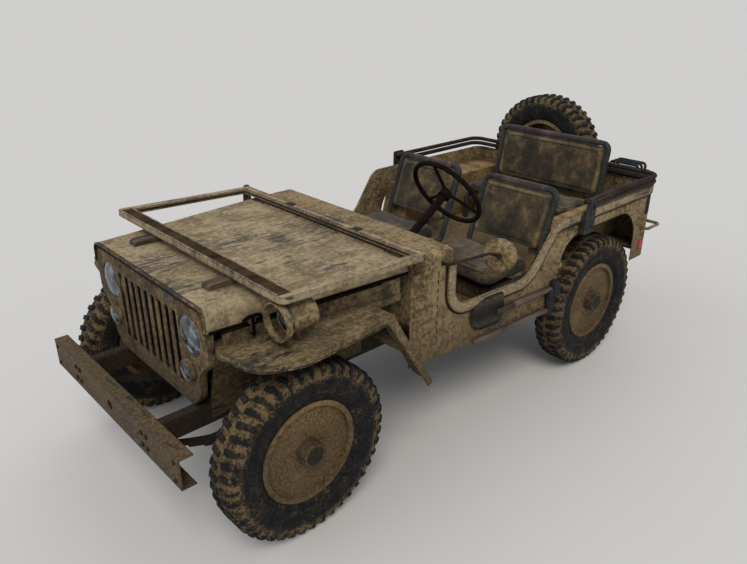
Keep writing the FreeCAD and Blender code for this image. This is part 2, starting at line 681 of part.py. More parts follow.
def lamps():
    """Headlamps set back in the grille, marker lamps in front of it, and the tail lamps."""
    back = at(d.grille_face - d.sheet_wall - d.seat_gap)
    sets = {"headlamps": [], "marker_lamps": []}
    for side in (1, -1):
        name = "left" if side > 0 else "right"
        lamp = new_body("headlamp_" + name)
        points = [(0, 0), (0, -90), (55, -78, 20), (d.lamp_radius - 4, -35), (d.lamp_radius + 7, -20),
                  (d.lamp_radius + 7, 0), (d.lamp_radius - 3, 0), (d.lamp_radius - 3, -14),
                  (40, -10, 60)]
        points = [(v, u) for u, v in [p[:2] for p in points]]
        revolve(lamp, outline(lamp, "XY", 0, points), "X")
        sets["headlamps"].append(place(lamp, back, side * d.lamp_y, d.lamp_z, 0))
        sets["marker_lamps"].append(rod("marker_" + name, (at(d.grille_face + d.seat_gap),
                                                           side * d.marker_y, d.marker_z),
                                        V(1, 0, 0), d.marker_radius, 18))
    rear = at(d.tub_rear - d.seat_gap)
    tails = [rod("tail_" + s, (rear, y, 560), V(-1, 0, 0), 30, 30)
             for s, y in (("left", 570), ("right", -570))]
    lamp_x, lamp_y, lamp_z = at(0), 620, 958
    housing = rod("drive_lamp_shell", (lamp_x - 70, lamp_y, lamp_z), V(1, 0, 0), 58, 105)
    post = rod("drive_lamp_post", (lamp_x - 10, lamp_y, d.fender_top + d.seat_gap), V(0, 0, 1), 12, 45)
    guard = Part.makeCylinder(76, 26, xyz(lamp_x + 60, lamp_y, lamp_z), V(1, 0, 0))
    guard = guard.cut(Part.makeCylinder(70, 40, xyz(lamp_x + 50, lamp_y, lamp_z), V(1, 0, 0)))
    stays = Part.makeBox(70, 8, 20, xyz(lamp_x + 10, lamp_y - 4, lamp_z + 52))
    driving = fuse("driving_lamp", housing, post, feature("drive_lamp_guard", guard.fuse(stays)))
    keep(group("lamps", *sets["headlamps"], *sets["marker_lamps"], *tails, driving))


def hood_half(x):
    """The hood's half-width at a place from the front axle."""
    share = (d.grille_face - x) / (d.grille_face - d.hood_rear)
    return d.hood_half_front + (d.hood_half_rear - d.hood_half_front) * share


def shell_ends(half, side, top, wall, radius):
    """An upturned U, closed: the section of a bent sheet."""
    return [(-half, side), (-half, top, radius), (half, top, radius), (half, side), (half - wall, side),
            (half - wall, top - wall, radius - wall), (wall - half, top - wall, radius - wall),
            (wall - half, side)]


def hood():
    """The bent hood, wider at the cowl, with its hinge barrel, the wooden rests and the side catches."""
    body = new_body("hood_sheet")
    wall, radius = d.sheet_wall, d.hood_round
    front, rear = at(d.grille_face), at(d.hood_rear)
    loft(body, outline(body, "YZ", front, shell_ends(d.hood_half_front, d.hood_side_front, d.hood_top,
                                                     wall, radius)),
         outline(body, "YZ", rear, shell_ends(d.hood_half_rear, d.hood_side_rear, d.hood_top_rear,
                                              wall, radius)))
    reach, low = d.hood_half_front - radius, d.grille_top + d.moving_gap
    lip = [(-reach, low), (reach, low), (reach, d.hood_top - 2), (-reach, d.hood_top - 2)]
    pad(body, outline(body, "YZ", front, lip), wall, flip=True)
    barrel = rod("hood_barrel", (at(d.cowl_front) + 6 + d.seat_gap, -450, d.hood_top_rear - 3), V(0, 1, 0), 6, 900)
    keep(fuse("hood", body, barrel))
    z = hood_top_at(180) + d.seat_gap
    blocks = []
    for name, y in (("_left", 310), ("_right", -310)):
        rest = new_body("hood_block" + name)
        profile = [(at(60), z), (at(60), z + 20, 16), (at(180), z + 20, 16), (at(180), z)]
        pad_y(rest, outline(rest, "XZ", y - 28, profile), 56)
        blocks.append(rest)
    catches = []
    for side in (1, -1):
        near = hood_half(98) + d.seat_gap
        pad_low = near if side > 0 else -near - 12
        tongue_low = near + 6 if side > 0 else -near - 12
        base = block("catch_base", (at(98), pad_low, d.hood_side_front + 6), (at(126), pad_low + 12, 958))
        tongue = block("catch_tongue", (at(106), tongue_low, 882), (at(118), tongue_low + 6, 950))
        catches.append(fuse("catch", base, tongue))
    keep(group("hood_fittings", *blocks, *catches))


def hood_top_at(x):
    share = (d.grille_face - x) / (d.grille_face - d.hood_rear)
    return d.hood_top + (d.hood_top_rear - d.hood_top) * share


def cowl():
    """The cowl's top with its rolled rear edge and instrument panel, the firewall and toe board."""
    body = new_body("cowl_sheet")
    wall = d.sheet_wall
    front, rear = at(d.cowl_front), at(d.cowl_rear)
    half_front = d.tub_half_front
    half_rear = d.tub_half_front + (d.tub_half - d.tub_half_front) * 0.26

    def section(half, top, inset):
        low = d.cowl_side
        return [(-half + inset, low), (-half + inset, top - inset, d.hood_round + 4 - inset),
                (half - inset, top - inset, d.hood_round + 4 - inset), (half - inset, low)]

    loft(body, outline(body, "YZ", front, section(half_front, d.hood_top_rear, 0)),
         outline(body, "YZ", rear, section(half_rear, d.cowl_top, 0)))
    hollow_loft(body, outline(body, "YZ", front, section(half_front, d.hood_top_rear, wall)),
                outline(body, "YZ", rear + d.dash_wall, section(half_rear, d.cowl_top, wall)))
    panel = [(rear + 6, d.dash_low), (rear + 6, d.cowl_side + 10), (rear + 22, d.cowl_side + 10),
             (rear + 22, d.dash_low)]
    pad(body, outline(body, "XZ", 0, panel), d.tub_half_front * 2 - 12, both=True)
    fire = [(front, d.rail_top + 150), (front, d.hood_top_rear - 20), (front - wall, d.hood_top_rear - 20),
            (front - wall, d.rail_top + 152), (front - 142, d.floor_front + d.seat_gap + wall),
            (front - 142, d.floor_front + d.seat_gap)]
    pad(body, outline(body, "XZ", 0, fire), d.tub_half_front * 2 - 12, both=True)
    x, y, z, tilt = d.wheel_x, d.wheel_y, d.wheel_z, math.radians(float(d.column_tilt))
    hole = rod("column_hole", (at(x), y, z), V(math.cos(tilt), 0, -math.sin(tilt)),
               d.column_radius + d.seat_gap, 800)
    keep(subtract("cowl", body, hole))


def tub_half_at(x):
    """The tub's half-width at a place from the front axle."""
    start = d.cowl_front + 1
    if float(x) <= float(d.tub_taper_end):
        return d.tub_half
    return d.tub_half_front + (d.tub_half - d.tub_half_front) * ((start - x) / (start - d.tub_taper_end))


def tub():
    """The open body's side and rear panels with their rolled rim, its two floors and its wheel wells."""
    wall = d.sheet_wall
    front, taper, rear = at(d.cowl_front + 1), at(d.tub_taper_end), at(d.tub_rear)
    high = d.rail_line + 60

    def ring(body, out, thick, low):
        """The wall's plan, a band from out to out minus thick around both sides and the rear."""
        a, b = d.tub_half_front + out, d.tub_half + out
        r = 60
        left = [(front, a), (taper, b), (rear - out, b, r + out)]
        right = [(p[0], -p[1]) + tuple(p[2:]) for p in left[::-1]]
        inner = [(front, -a + thick), (taper, -b + thick), (rear - out + thick, -b + thick, r + out - thick)]
        back = [(p[0], -p[1]) + tuple(p[2:]) for p in inner[::-1]]
        return pad(body, outline(body, "XY", low, left + right + inner + back), high - low)

    def top_opening(grow):
        """The doors' cut-outs and all above the rail's line; grow moves the edge into the wall."""
        slope_top = d.door_slope_x - (d.rail_line - d.door_sill) / tangent_of(d.door_slope)
        shift = grow * tangent_of(d.door_slope / 2)
        return [(at(-500), 1300), (at(-500), d.cowl_side), (at(d.door_front + grow), d.cowl_side),
                (at(d.door_front + grow), d.door_sill - grow, 80 + grow),
                (at(d.door_slope_x - shift), d.door_sill - grow, 140 + grow),
                (at(slope_top - shift), d.rail_line - grow, 110 - grow),
                (at(-2750), d.rail_line - grow), (at(-2750), 1300)]

    def low_opening(grow):
        """Everything under the sills, with the rear wheels' arches."""
        return [(at(-500), 250), (at(-500), d.tub_low_front), (at(d.arch_front), d.tub_low),
                (at(d.arch_front), d.arch_top, d.arch_round), (at(d.arch_rear), d.arch_top, d.arch_round),
                (at(d.arch_rear), d.tub_low_rear), (at(-2750), d.tub_low_rear), (at(-2750), 250)]

    skin = new_body("tub_skin")
    ring(skin, 0, wall, d.tub_low)
    cut(skin, outline(skin, "XZ", 0, top_opening(0)))
    cut(skin, outline(skin, "XZ", 0, low_opening(0)))
    bay = [(-470, d.tub_low), (470, d.tub_low), (470, d.floor_rear - wall), (-470, d.floor_rear - wall)]
    cut(skin, outline(skin, "YZ", rear - 2, bay), wall + 4, flip=True)

    rim = new_body("tub_rim")
    ring(rim, d.rim_proud, d.rim_proud, d.door_sill - d.rim_band - 40)
    cut(rim, outline(rim, "XZ", 0, top_opening(0)))
    panel = top_opening(d.rim_band)[2:7]
    below = [(at(-500), 1290), (panel[0][0], 1290)] + panel[1:] + [(at(-2750), 300), (at(-500), 300)]
    cut(rim, outline(rim, "XZ", 0, below))

    walls = fuse("tub_walls", skin, rim)
    corner = d.tub_half - 75
    panels = []
    for name, near, far in (("left", corner, corner + 200), ("right", -corner - 200, -corner),
                            ("rear", d.seat_gap - corner, corner - d.seat_gap)):
        room = block("room_" + name, (rear - 50, near, 300), (front + 50, far, high))
        panels.append(common("panel_" + name, walls, room))
    keep(group("tub", *panels))

    inside = new_body("tub_inside")
    inset = wall + d.seat_gap
    left = [(front, d.tub_half_front - inset), (taper, d.tub_half - inset),
            (rear + inset, d.tub_half - inset, 60 - inset)]
    right = [(p[0], -p[1]) + tuple(p[2:]) for p in left[::-1]]
    pad(inside, outline(inside, "XY", d.tub_low, left + right), high - d.tub_low)

    step, bottom, top = at(d.floor_step), d.floor_front - wall, d.floor_rear
    near_floor = block("near_floor", (step + d.seat_gap, -d.tub_half, bottom), (front, d.tub_half, d.floor_front))
    load_floor = new_body("load_floor")
    bend = [(step, bottom), (step, top), (rear, top), (rear, top - wall), (step - wall, top - wall),
            (step - wall, bottom)]
    pad(load_floor, outline(load_floor, "XZ", 0, bend), d.tub_half * 2, both=True)
    inner, out, foot, brow = d.well_inner, d.tub_half, at(d.well_front), at(d.well_brow)
    spaces = [block("well_space" + name, (foot - 836, low, 300), (foot - 6, far, d.well_top))
              for name, low, far in (("_left", inner + wall + 0.5, out + 60),
                                     ("_right", -out - 60, -inner - wall - 0.5))]
    open_floor = subtract("open_floor", load_floor, fuse("well_spaces", *spaces))
    keep(group("floor", common("front_floor", near_floor, inside), common("rear_floor", open_floor, inside)))

    wells = new_body("well_boxes")
    sole, crown = top + d.seat_gap, d.well_top
    bend = [(inner, sole), (inner, crown), (out, crown), (out, crown - wall), (inner + wall, crown - wall),
            (inner + wall, sole)]
    mirror(wells, pad(wells, outline(wells, "YZ", rear, bend), foot - rear))
    cut(wells, outline(wells, "XZ", 0, [(foot, sole), (brow, crown), (brow, crown + 5), (foot + 5, crown + 5),
                                        (foot + 5, sole)]))
    slope = [(foot, sole), (brow, crown), (brow - wall, crown), (foot - wall, sole)]
    mirror(wells, pad_y(wells, outline(wells, "XZ", inner, slope), out - inner))
    keep(common("wheel_wells", wells, inside))


def fenders():
    """A flat-topped wing on each side: lip, sloping leg, apron and the strip under the hood's seam."""
    wall = d.sheet_wall
    for side, label in ((1, "fender_left"), (-1, "fender_right")):
        body = new_body(label)

        def plan(inset):
            return [(at(d.fender_front - 22) - inset, side * (d.apron_top_y + inset)),
                    (at(d.fender_front + 8) - inset, side * (500 + inset), 30),
                    (at(d.fender_front - 30) - inset, side * (d.fender_outer - 60 - inset), 120),
                    (at(60), side * (d.fender_outer - inset), 100),
                    (at(d.fender_rear) + inset, side * (d.fender_outer_rear - inset)),
                    (at(d.fender_rear) + inset, side * (d.tub_half_front - 12 - inset)),
                    (at(-560) + inset, side * (d.tub_half_front - 12 - inset)),
                    (at(-560) + inset, side * (d.apron_top_y + inset))]

        pad(body, outline(body, "XY", d.fender_top - d.fender_lip, plan(0)), d.fender_lip)
        cut(body, outline(body, "XY", d.fender_top - d.fender_lip, plan(wall)), d.fender_lip - wall, flip=True)
        inner = tub_half_at(d.leg_foot) + d.seat_gap
        leg = [(at(d.fender_rear) + 3, d.fender_top), (at(d.leg_foot), d.leg_foot_z),
               (at(d.leg_foot) + 5, d.leg_foot_z - 3), (at(d.fender_rear) + 8, d.fender_top - 8)]
        width = d.fender_outer_rear - inner
        pad_y(body, outline(body, "XZ", side * inner, leg), width, flip=side < 0)
        lip = [(at(d.fender_rear) + 3, d.fender_top), (at(d.leg_foot), d.leg_foot_z),
               (at(d.leg_foot) + 26, d.leg_foot_z - 15), (at(d.fender_rear) + 30, d.fender_top - d.fender_lip),
               (at(d.fender_rear) + 34, d.fender_top - 4)]
        pad_y(body, outline(body, "XZ", side * (d.fender_outer_rear - wall), lip), wall, flip=side < 0)
        foot_y = d.rail_y + d.rail_width / 2 + d.seat_gap
        apron = [(d.apron_top_y, d.fender_top - 1), (d.apron_top_y + wall, d.fender_top - 1),
                 (foot_y + wall, d.rail_top + 20), (foot_y + wall, d.rail_low + 20), (foot_y, d.rail_low + 20),
                 (foot_y, d.rail_top + 20)]
        apron = [(side * p[0], p[1]) for p in apron]
        pad(body, outline(body, "YZ", at(-560), apron), at(d.fender_front - 30) - at(-560))
        front, rear = d.fender_front - 31, as_size(-558)
        ends = []
        for x, gap in ((front, 0), (rear, 0)):
            half = hood_half(x)
            share = (d.grille_face - x) / (d.grille_face - d.hood_rear)
            top = d.hood_side_front + (d.hood_side_rear - d.hood_side_front) * share - d.moving_gap - 2
            ends.append(outline(body, "YZ", at(x), flip_yz(side, [(half - wall, d.fender_top - wall),
                                                              (half, d.fender_top - wall), (half, top),
                                                              (half - wall, top)])))
        loft(body, *ends)
        keep(body)


def flip_yz(side, points):
    return [(side * p[0],) + tuple(p[1:]) for p in points]


def windshield():
    """The screen's frame, folded forward on the hood, with its hinge plates on the cowl."""
    x0, z0 = d.screen_hinge, d.screen_hinge_z
    tilt = math.degrees(math.atan2(float(d.screen_tip_z - z0), float(d.screen_front - x0)))
    body = new_body("windshield_frame")
    half, reach = d.screen_half, d.screen_front - x0
    ring = [(-8, -half, 6), (reach, -half, 30), (reach, half, 30), (-8, half, 6)]
    hole = [(40, -half + d.screen_side, 20), (reach - d.screen_bar, -half + d.screen_side, 20),
            (reach - d.screen_bar, half - d.screen_side, 20), (40, half - d.screen_side, 20)]
    pad(body, outline(body, "XY", -d.screen_thick / 2, ring, hole), d.screen_thick)
    body.Placement = FreeCAD.Placement(V(0, 0, 0), FreeCAD.Rotation(V(0, -1, 0), tilt))
    for name, value in (("x", at(x0)), ("y", 0), ("z", z0)):
        bind(body, "Placement.Base." + name, value)
    pins = [rod("screen_pin", (at(x0), y, z0), V(0, 1, 0), 7, 34) for y in (half - 20, -half - 14)]
    keep(fuse("windshield", body, *pins))
    plates = []
    for side, name in ((1, "left"), (-1, "right")):
        plate = new_body("screen_plate_" + name)
        outer = half + d.moving_gap
        ear = [(at(x0) - 28, z0 - 130), (at(x0) + 28, z0 - 130), (at(x0) + 20, z0 + 20, 18),
               (at(x0) - 20, z0 + 20, 18)]
        pad_y(plate, outline(plate, "XZ", side * outer, ear), 6, flip=side < 0)
        foot = [(at(x0) + reach, side * y)
                for reach, y in ((-28, tub_half_at(x0 - 28) + d.seat_gap), (28, tub_half_at(x0 + 28) + d.seat_gap),
                                 (28, outer + 6), (-28, outer + 6))]
        pad(plate, outline(plate, "XY", z0 - 130, foot), 35)
        cut(plate, circles(plate, "XZ", side * outer, (at(x0), z0, 7 + d.running_gap)))
        plates.append(plate)
    keep(group("windshield_hinges", *plates))


def steering():
    """Column and wheel, on the left."""
    tilt = math.radians(float(d.column_tilt))
    down = V(math.cos(tilt), 0, -math.sin(tilt))
    hub = xyz(at(d.wheel_x), d.wheel_y, d.wheel_z)
    length = float(d.column_end - d.wheel_x) / math.cos(tilt) - 28.3
    keep(feature("steering_column", Part.makeCylinder(float(d.column_radius), length, hub + down * 28.3, down)))
    ring = Part.makeTorus(float(d.wheel_ring) - 12, 12, hub, down)
    pieces = [Part.makeCylinder(32, 34, hub - down * 6, down)]
    side = V(0, 1, 0)
    up = down.cross(side)
    for turn in (90, 210, 330):
        a = math.radians(turn)
        out = side * math.cos(a) + up * math.sin(a)
        pieces.append(Part.makeCylinder(8, float(d.wheel_ring) - 12, hub, out))
    keep(feature("steering_wheel", ring.multiFuse(pieces).removeSplitter()))


def seats():
    """Tube frames with canvas backs and cushions; a bench behind."""
    r, low = d.seat_tube, d.floor_front + d.seat_gap
    frames, cushions, backs = [], [], []
    for side in (1, -1):
        y = side * d.seat_y
        path = [(at(-1235), y + d.seat_half, low), (at(-1235), y + d.seat_half, d.cushion_low - 14),
                (at(-1585), y + d.seat_half, d.cushion_low - 14),
                (at(-1735), y + d.seat_half, d.seat_back_top),
                (at(-1735), y - d.seat_half, d.seat_back_top),
                (at(-1585), y - d.seat_half, d.cushion_low - 14),
                (at(-1235), y - d.seat_half, d.cushion_low - 14), (at(-1235), y - d.seat_half, low)]
        solid = tube(path, r, d.seat_bend)
        floor = float(d.floor_rear + d.seat_gap)
        legs = [Part.makeCylinder(float(r), float(d.cushion_low) - 14 - floor,
                                  V(float(at(-1545)), float(y) + s * float(d.seat_half), floor))
                for s in (-1, 1)]
        frames.append(solid.multiFuse(legs).removeSplitter())
        name, base = "left" if side > 0 else "right", d.cushion_low - 14 + r + d.seat_gap
        cushions.append(block("cushion_" + name, (at(-1548), y - d.seat_half, base),
                              (at(-1195), y + d.seat_half, d.cushion_top)))
        backs.append(back_pad("back_" + name, (at(-1585), d.cushion_low - 14), (at(-1735), d.seat_back_top),
                              120, y, d.seat_half - r - d.seat_gap))
    keep(group("seat_pads", *cushions, *backs))
    keep(block("fuel_tank", (at(-1470), 110, d.floor_front + d.seat_gap), (at(-1262), 555, d.cushion_low - 30)))
    half, z = d.bench_half, d.floor_rear + d.seat_gap
    path = [(at(-2160), half, z), (at(-2160), half, 752), (at(-2455), half, 752),
            (at(d.bench_back_x), half, d.bench_back_top), (at(d.bench_back_x), -half, d.bench_back_top),
            (at(-2455), -half, 752), (at(-2160), -half, 752), (at(-2160), -half, z)]
    legs = [Part.makeCylinder(float(r), 752 - float(z), V(float(at(-2420)), s * float(half), float(z)))
            for s in (-1, 1)]
    frames.append(tube(path, d.bench_tube, d.seat_bend).multiFuse(legs).removeSplitter())
    keep(feature("seat_frames", Part.makeCompound(frames)))
    cushion = block("bench_cushion", (at(-2415), -half, 752 + r + d.seat_gap), (at(-2130), half, 840))
    back = back_pad("bench_back", (at(-2455), 752), (at(d.bench_back_x), d.bench_back_top), 100, 0,
                    half - r - d.seat_gap)
    keep(group("bench_pads", cushion, back))


def back_pad(label, low, high, start, y, half):
    """A padded back between a frame's two uprights, round in its top corners as the tube is."""
    body = new_body(label)
    lean = math.degrees(math.atan2(float(low[0] - high[0]), float(as_size(high[1]) - low[1])))
    end = root_of((high[0] - low[0]) * (high[0] - low[0]) + (as_size(high[1]) - low[1]) * (as_size(high[1]) - low[1]))
    end = end - d.seat_tube - d.seat_gap
    corner = d.seat_bend - d.seat_tube - d.seat_gap
    face = [(-half, start), (half, start), (half, end, corner), (-half, end, corner)]
    pad(body, outline(body, "YZ", -16, face), 32)
    body.Placement = FreeCAD.Placement(V(0, 0, 0), FreeCAD.Rotation(V(0, -1, 0), lean))
    for name, value in (("x", low[0]), ("y", y), ("z", low[1])):
        bind(body, "Placement.Base." + name, value)
    return body


def top_bows():
    """Two folded hoops on side brackets; the upper one is the front bow."""
    for label, pivot, z in (("bow_front", d.bow_high_pivot, d.bow_high_z), ("bow_rear", d.bow_low_pivot, d.bow_low_z)):
        y, x0, x1 = d.bow_y, at(pivot), at(d.bow_rear)
        hoop = tube([(x0, y, z), (x1, y, z), (x1, -y, z), (x0, -y, z)], d.bow_radius, 70)
        pins = [Part.makeCylinder(6, 26, V(float(x0), s * float(y) - (0 if s > 0 else 26), float(z)), V(0, 1, 0))
                for s in (1, -1)]
        ends = [Part.makeSphere(float(d.bow_radius), V(float(x0), s * float(y), float(z))) for s in (1, -1)]
        keep(feature(label, hoop.multiFuse(pins + ends).removeSplitter()))
    plates = []
    for side, name in ((1, "left"), (-1, "right")):
        plate = new_body("bow_plate_" + name)
        near = d.tub_half + d.rim_proud + d.seat_gap
        far = d.bow_y + d.bow_radius + 5
        mid = at((d.bow_high_pivot + d.bow_low_pivot) / 2)
        ear = [(mid - 45, 850), (mid + 45, 850), (mid + 45, d.bow_high_z + 20, 14), (mid - 45, d.bow_high_z + 20, 14)]
        pad_y(plate, outline(plate, "XZ", side * far, ear), 5, flip=side < 0)
        foot = [(mid - 45, 850), (mid + 45, 850), (mid + 45, 950), (mid - 45, 950)]
        pad_y(plate, outline(plate, "XZ", side * near, foot), far + 5 - near, flip=side < 0)
        cut(plate, circles(plate, "XZ", side * far, (at(d.bow_high_pivot), d.bow_high_z, 6 + d.running_gap),
                           (at(d.bow_low_pivot), d.bow_low_z, 6 + d.running_gap)))
        plates.append(plate)
    keep(group("bow_brackets", *plates))


def jerrycan(face, reach):
    """A fuel can with a sloping shoulder for its spout and three bar handles, its side against the face."""
    can = new_body("can_shell")
    low, shoulder = d.can_low, d.can_low + d.can_height - 50
    left, right = d.can_y - reach, d.can_y + reach
    side = [(left, low, 30), (right, low, 30), (right, shoulder, 30), (left + 95, shoulder, 20),
            (left, shoulder - 60, 20)]
    pad(can, outline(can, "YZ", face - d.can_width, side), d.can_width)
    middle, top = face - d.can_width / 2, d.can_low + d.can_height - 8
    bars = [feature("can_handle", tube([(middle + x, left + 125, shoulder - 2), (middle + x, left + 125, top),
                                        (middle + x, right - 35, top), (middle + x, right - 35, shoulder - 2)],
                                       8, 20)) for x in (-45, 0, 45)]
    slope = V(0, -60, 95).normalize()
    spout = rod("can_spout", (middle, left + 45, shoulder - 36), slope, 26, 34)
    return fuse("jerrycan", can, spout, *bars)


def controls():
    """Gear lever, two transfer levers and two pedals, standing on the floor."""
    floor = float(d.floor_front + d.seat_gap)
    levers = []
    for x, y, top, lean in ((-985, 25, 845, -45), (-1010, -45, 760, -25), (-1010, -75, 760, -25)):
        foot = Part.makeCone(24, 12, 22, V(float(at(x)), y, floor))
        stem = tube([(at(x), y, floor + 5), (at(x), y, 620), (at(x + lean), y, top)], 7, 60)
        knob = Part.makeSphere(15, xyz(at(x + lean), y, top))
        levers.append(stem.multiFuse([foot, knob]))
    for y in (245, 325):
        plate = Part.makeBox(10, 64, 74, V(-5, -32, -37))
        plate.rotate(V(0, 0, 0), V(0, 1, 0), -35)
        plate.translate(xyz(at(-815), y, 672))
        stem = tube([(at(-770), y, floor), (at(-770), y, 590), (at(-813), y, 670)], 8, 18)
        levers.append(stem.fuse(plate))
    keep(feature("controls", Part.makeCompound(levers)))


def fittings():
    """Mirror, driving lamp, grab handles, hood catches, tools, can and the carriers at the rear."""
    x, y, z = at(-1109), 692, 917
    slope = float(d.tub_half - d.tub_half_front) / float(d.cowl_front + 1 - d.tub_taper_end)
    out = V(slope, 1, 0).normalize()
    disc = rod("mirror_disc", (x, y, z), V(0.9, 0.4, 0.05), 75, 10)
    disc_back = Part.makeCylinder(9, 30, xyz(x + 5, y + 2, z), V(0.9, 0.4, 0.05))
    root = xyz(at(-790), tub_half_at(-790), 945) + out * float(d.seat_gap)
    foot = Part.makeCylinder(9, 6, root, out)
    arm = tube([root + out * 3, root + out * 30, (x + 60, y - 14, 935), (x + 16, y + 3, z)], 7, 16)
    keep(fuse("mirror", disc, feature("mirror_arm", arm.multiFuse([foot, disc_back]))))
    handles = []
    for side in (1, -1):
        near = tub_half_at(-1499) + d.seat_gap
        far, half = tub_half_at(-1600) + d.seat_gap, d.tub_half + d.seat_gap
        rear = at(d.tub_rear) - d.seat_gap
        for path, z in (([(at(-1490), near), (at(-1490), half + 40), (at(-1610), half + 40), (at(-1610), far)], 735),
                        ([(at(-2500), half), (at(-2500), half + 40), (rear - 40, half + 40), (rear - 40, 600),
                          (rear, 600)], 712)):
            handles.append(feature("grab_bar", tube([(u, side * as_size(v), z) for u, v in path], 9, 22)))
    keep(group("grab_handles", *handles))
    proud, gap = d.rim_proud + d.seat_gap, d.seat_gap
    blade = block("shovel_blade", (-222, proud, 535), (0, proud + 10, 700))
    shaft = rod("shovel_shaft", (-200, 15 + gap, 600), V(-1, 0, 0), 15, 405)
    haft = rod("axe_haft", (-20, 14 + gap, 482), V(-1, 0, 0), 14, 570)
    head = block("axe_head", (-640, gap, 478), (-560, gap + 28, 572))
    tools = group("hand_tools", fuse("shovel", blade, shaft), fuse("axe", haft, head))
    keep(place(tools, at(-980), tub_half_at(-980), 0, -math.degrees(math.atan(slope))))
    back = at(d.tub_rear - d.seat_gap)
    near, reach = back - d.rim_proud - d.sheet_wall - d.seat_gap, d.can_length / 2
    keep(jerrycan(near, reach))
    shelf = block("can_shelf", (near - d.can_width, d.can_y - reach - 10, d.can_low - 12),
                  (back, d.can_y + reach + 10, d.can_low - d.seat_gap))
    stop = block("can_stop", (near + d.seat_gap, d.can_y - reach - 10, d.can_low - 12),
                 (back - d.rim_proud, d.can_y + reach + 10, d.can_low + 120))
    plate_x, middle = back - d.rim_proud - 6, d.spare_y
    plate = block("spare_plate", (plate_x, middle - 62, 780), (back - d.rim_proud, middle + 62, 1050))
    foot = block("spare_foot", (plate_x, middle - 62, 780), (back, middle + 62, 850))
    boss = rod("spare_boss", (plate_x + 3, middle, d.spare_z), V(-1, 0, 0), 75,
               plate_x + 3 - at(d.spare_x) + d.disc_out - d.disc_wall - d.seat_gap)
    keep(group("rear_carriers", fuse("can_carrier", shelf, stop), fuse("spare_carrier", plate, foot, boss)))


frame_rails()
front_bumper()
rear_bumpers()
tyre_and_wheel()
axles()
knuckles()
tie_rod()
leaf_springs()
drive_line()
grille()
lamps()
hood()
cowl()
tub()
fenders()
windshield()
steering()
seats()
top_bows()
fittings()
controls()
doc.recompute()

for item in doc.Objects:
    if "Invalid" in item.State or "Error" in item.State:
        raise RuntimeError(f"{item.Label} is {item.State}")
os.makedirs("parts", exist_ok=True)
for label, item in nodes.items():
    shape = item.Shape
    if shape.isNull() or not shape.isValid() or not shape.Solids:
        raise RuntimeError(label + " has no valid shape")
    shape.exportStep(f"parts/{label}.step")
    print(label, len(shape.Solids), round(shape.Volume / 1e6, 2))
box = Part.makeCompound([item.Shape for item in nodes.values()]).BoundBox
print("box", [round(v, 1) for v in (box.XMin, box.XMax, box.YMin, box.YMax, box.ZMin, box.ZMax)])
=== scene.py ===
import bmesh
import bpy
import json
import math
from mathutils import Matrix, Vector
from mathutils.bvhtree import BVHTree


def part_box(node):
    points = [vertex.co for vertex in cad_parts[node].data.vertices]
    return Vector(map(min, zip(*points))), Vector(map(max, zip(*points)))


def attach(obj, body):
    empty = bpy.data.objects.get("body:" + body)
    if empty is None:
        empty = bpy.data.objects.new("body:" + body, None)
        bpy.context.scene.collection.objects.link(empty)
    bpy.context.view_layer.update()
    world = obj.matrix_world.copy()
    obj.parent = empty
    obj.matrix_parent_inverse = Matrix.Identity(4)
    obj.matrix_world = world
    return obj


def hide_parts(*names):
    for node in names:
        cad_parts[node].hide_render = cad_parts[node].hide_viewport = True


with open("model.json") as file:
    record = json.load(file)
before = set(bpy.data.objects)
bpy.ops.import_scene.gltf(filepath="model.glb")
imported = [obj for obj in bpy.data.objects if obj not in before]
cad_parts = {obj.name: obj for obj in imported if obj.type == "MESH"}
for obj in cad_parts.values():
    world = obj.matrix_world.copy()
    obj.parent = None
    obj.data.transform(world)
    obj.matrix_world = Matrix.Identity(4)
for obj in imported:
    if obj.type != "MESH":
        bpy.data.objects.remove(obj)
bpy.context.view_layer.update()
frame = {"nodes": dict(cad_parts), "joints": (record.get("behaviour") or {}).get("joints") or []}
nodes = frame["nodes"]
joints = {joint["name"]: Vector(joint["pos_m"]) for joint in frame["joints"] if "pos_m" in joint}
frontAxle = joints["spin_front_left"].x
up, forward, backward = Vector((0, 0, 1)), Vector((1, 0, 0)), Vector((-1, 0, 0))
print("frame loaded:", len(nodes), "nodes")


def at(x):
    # places along the car are measured from the front axle, forward positive
    return frontAxle + x


def onCar(x, y, z):
    return Vector((frontAxle + x, y, z))


# Materials

def linear(text, alpha=1.0):
    parts = [int(text[i:i + 2], 16) / 255 for i in (1, 3, 5)]
    return tuple(p / 12.92 if p <= 0.04045 else ((p + 0.055) / 1.055) ** 2.4 for p in parts) + (alpha,)


def addNode(tree, kind, links=None, ramp=None, **settings):
    made = tree.nodes.new(kind)
    for name, value in settings.items():
        setattr(made, name, value)
    for key, value in (links or {}).items():
        socket = made.inputs[key]
        if isinstance(value, bpy.types.NodeSocket):
            tree.links.new(value, socket)
        else:
            socket.default_value = linear(value) if isinstance(value, str) else value
    for i, (place, value) in enumerate(ramp or []):
        stops = made.color_ramp.elements
        stop = stops[i] if i < len(stops) else stops.new(place)
        stop.position = place
        stop.color = linear(value) if isinstance(value, str) else (value, value, value, 1)
    return made


def newMaterial(name):
    material = bpy.data.materials.new(name)
    material.use_nodes = True
    shader = material.node_tree.nodes["Principled BSDF"]
    return material, material.node_tree, shader


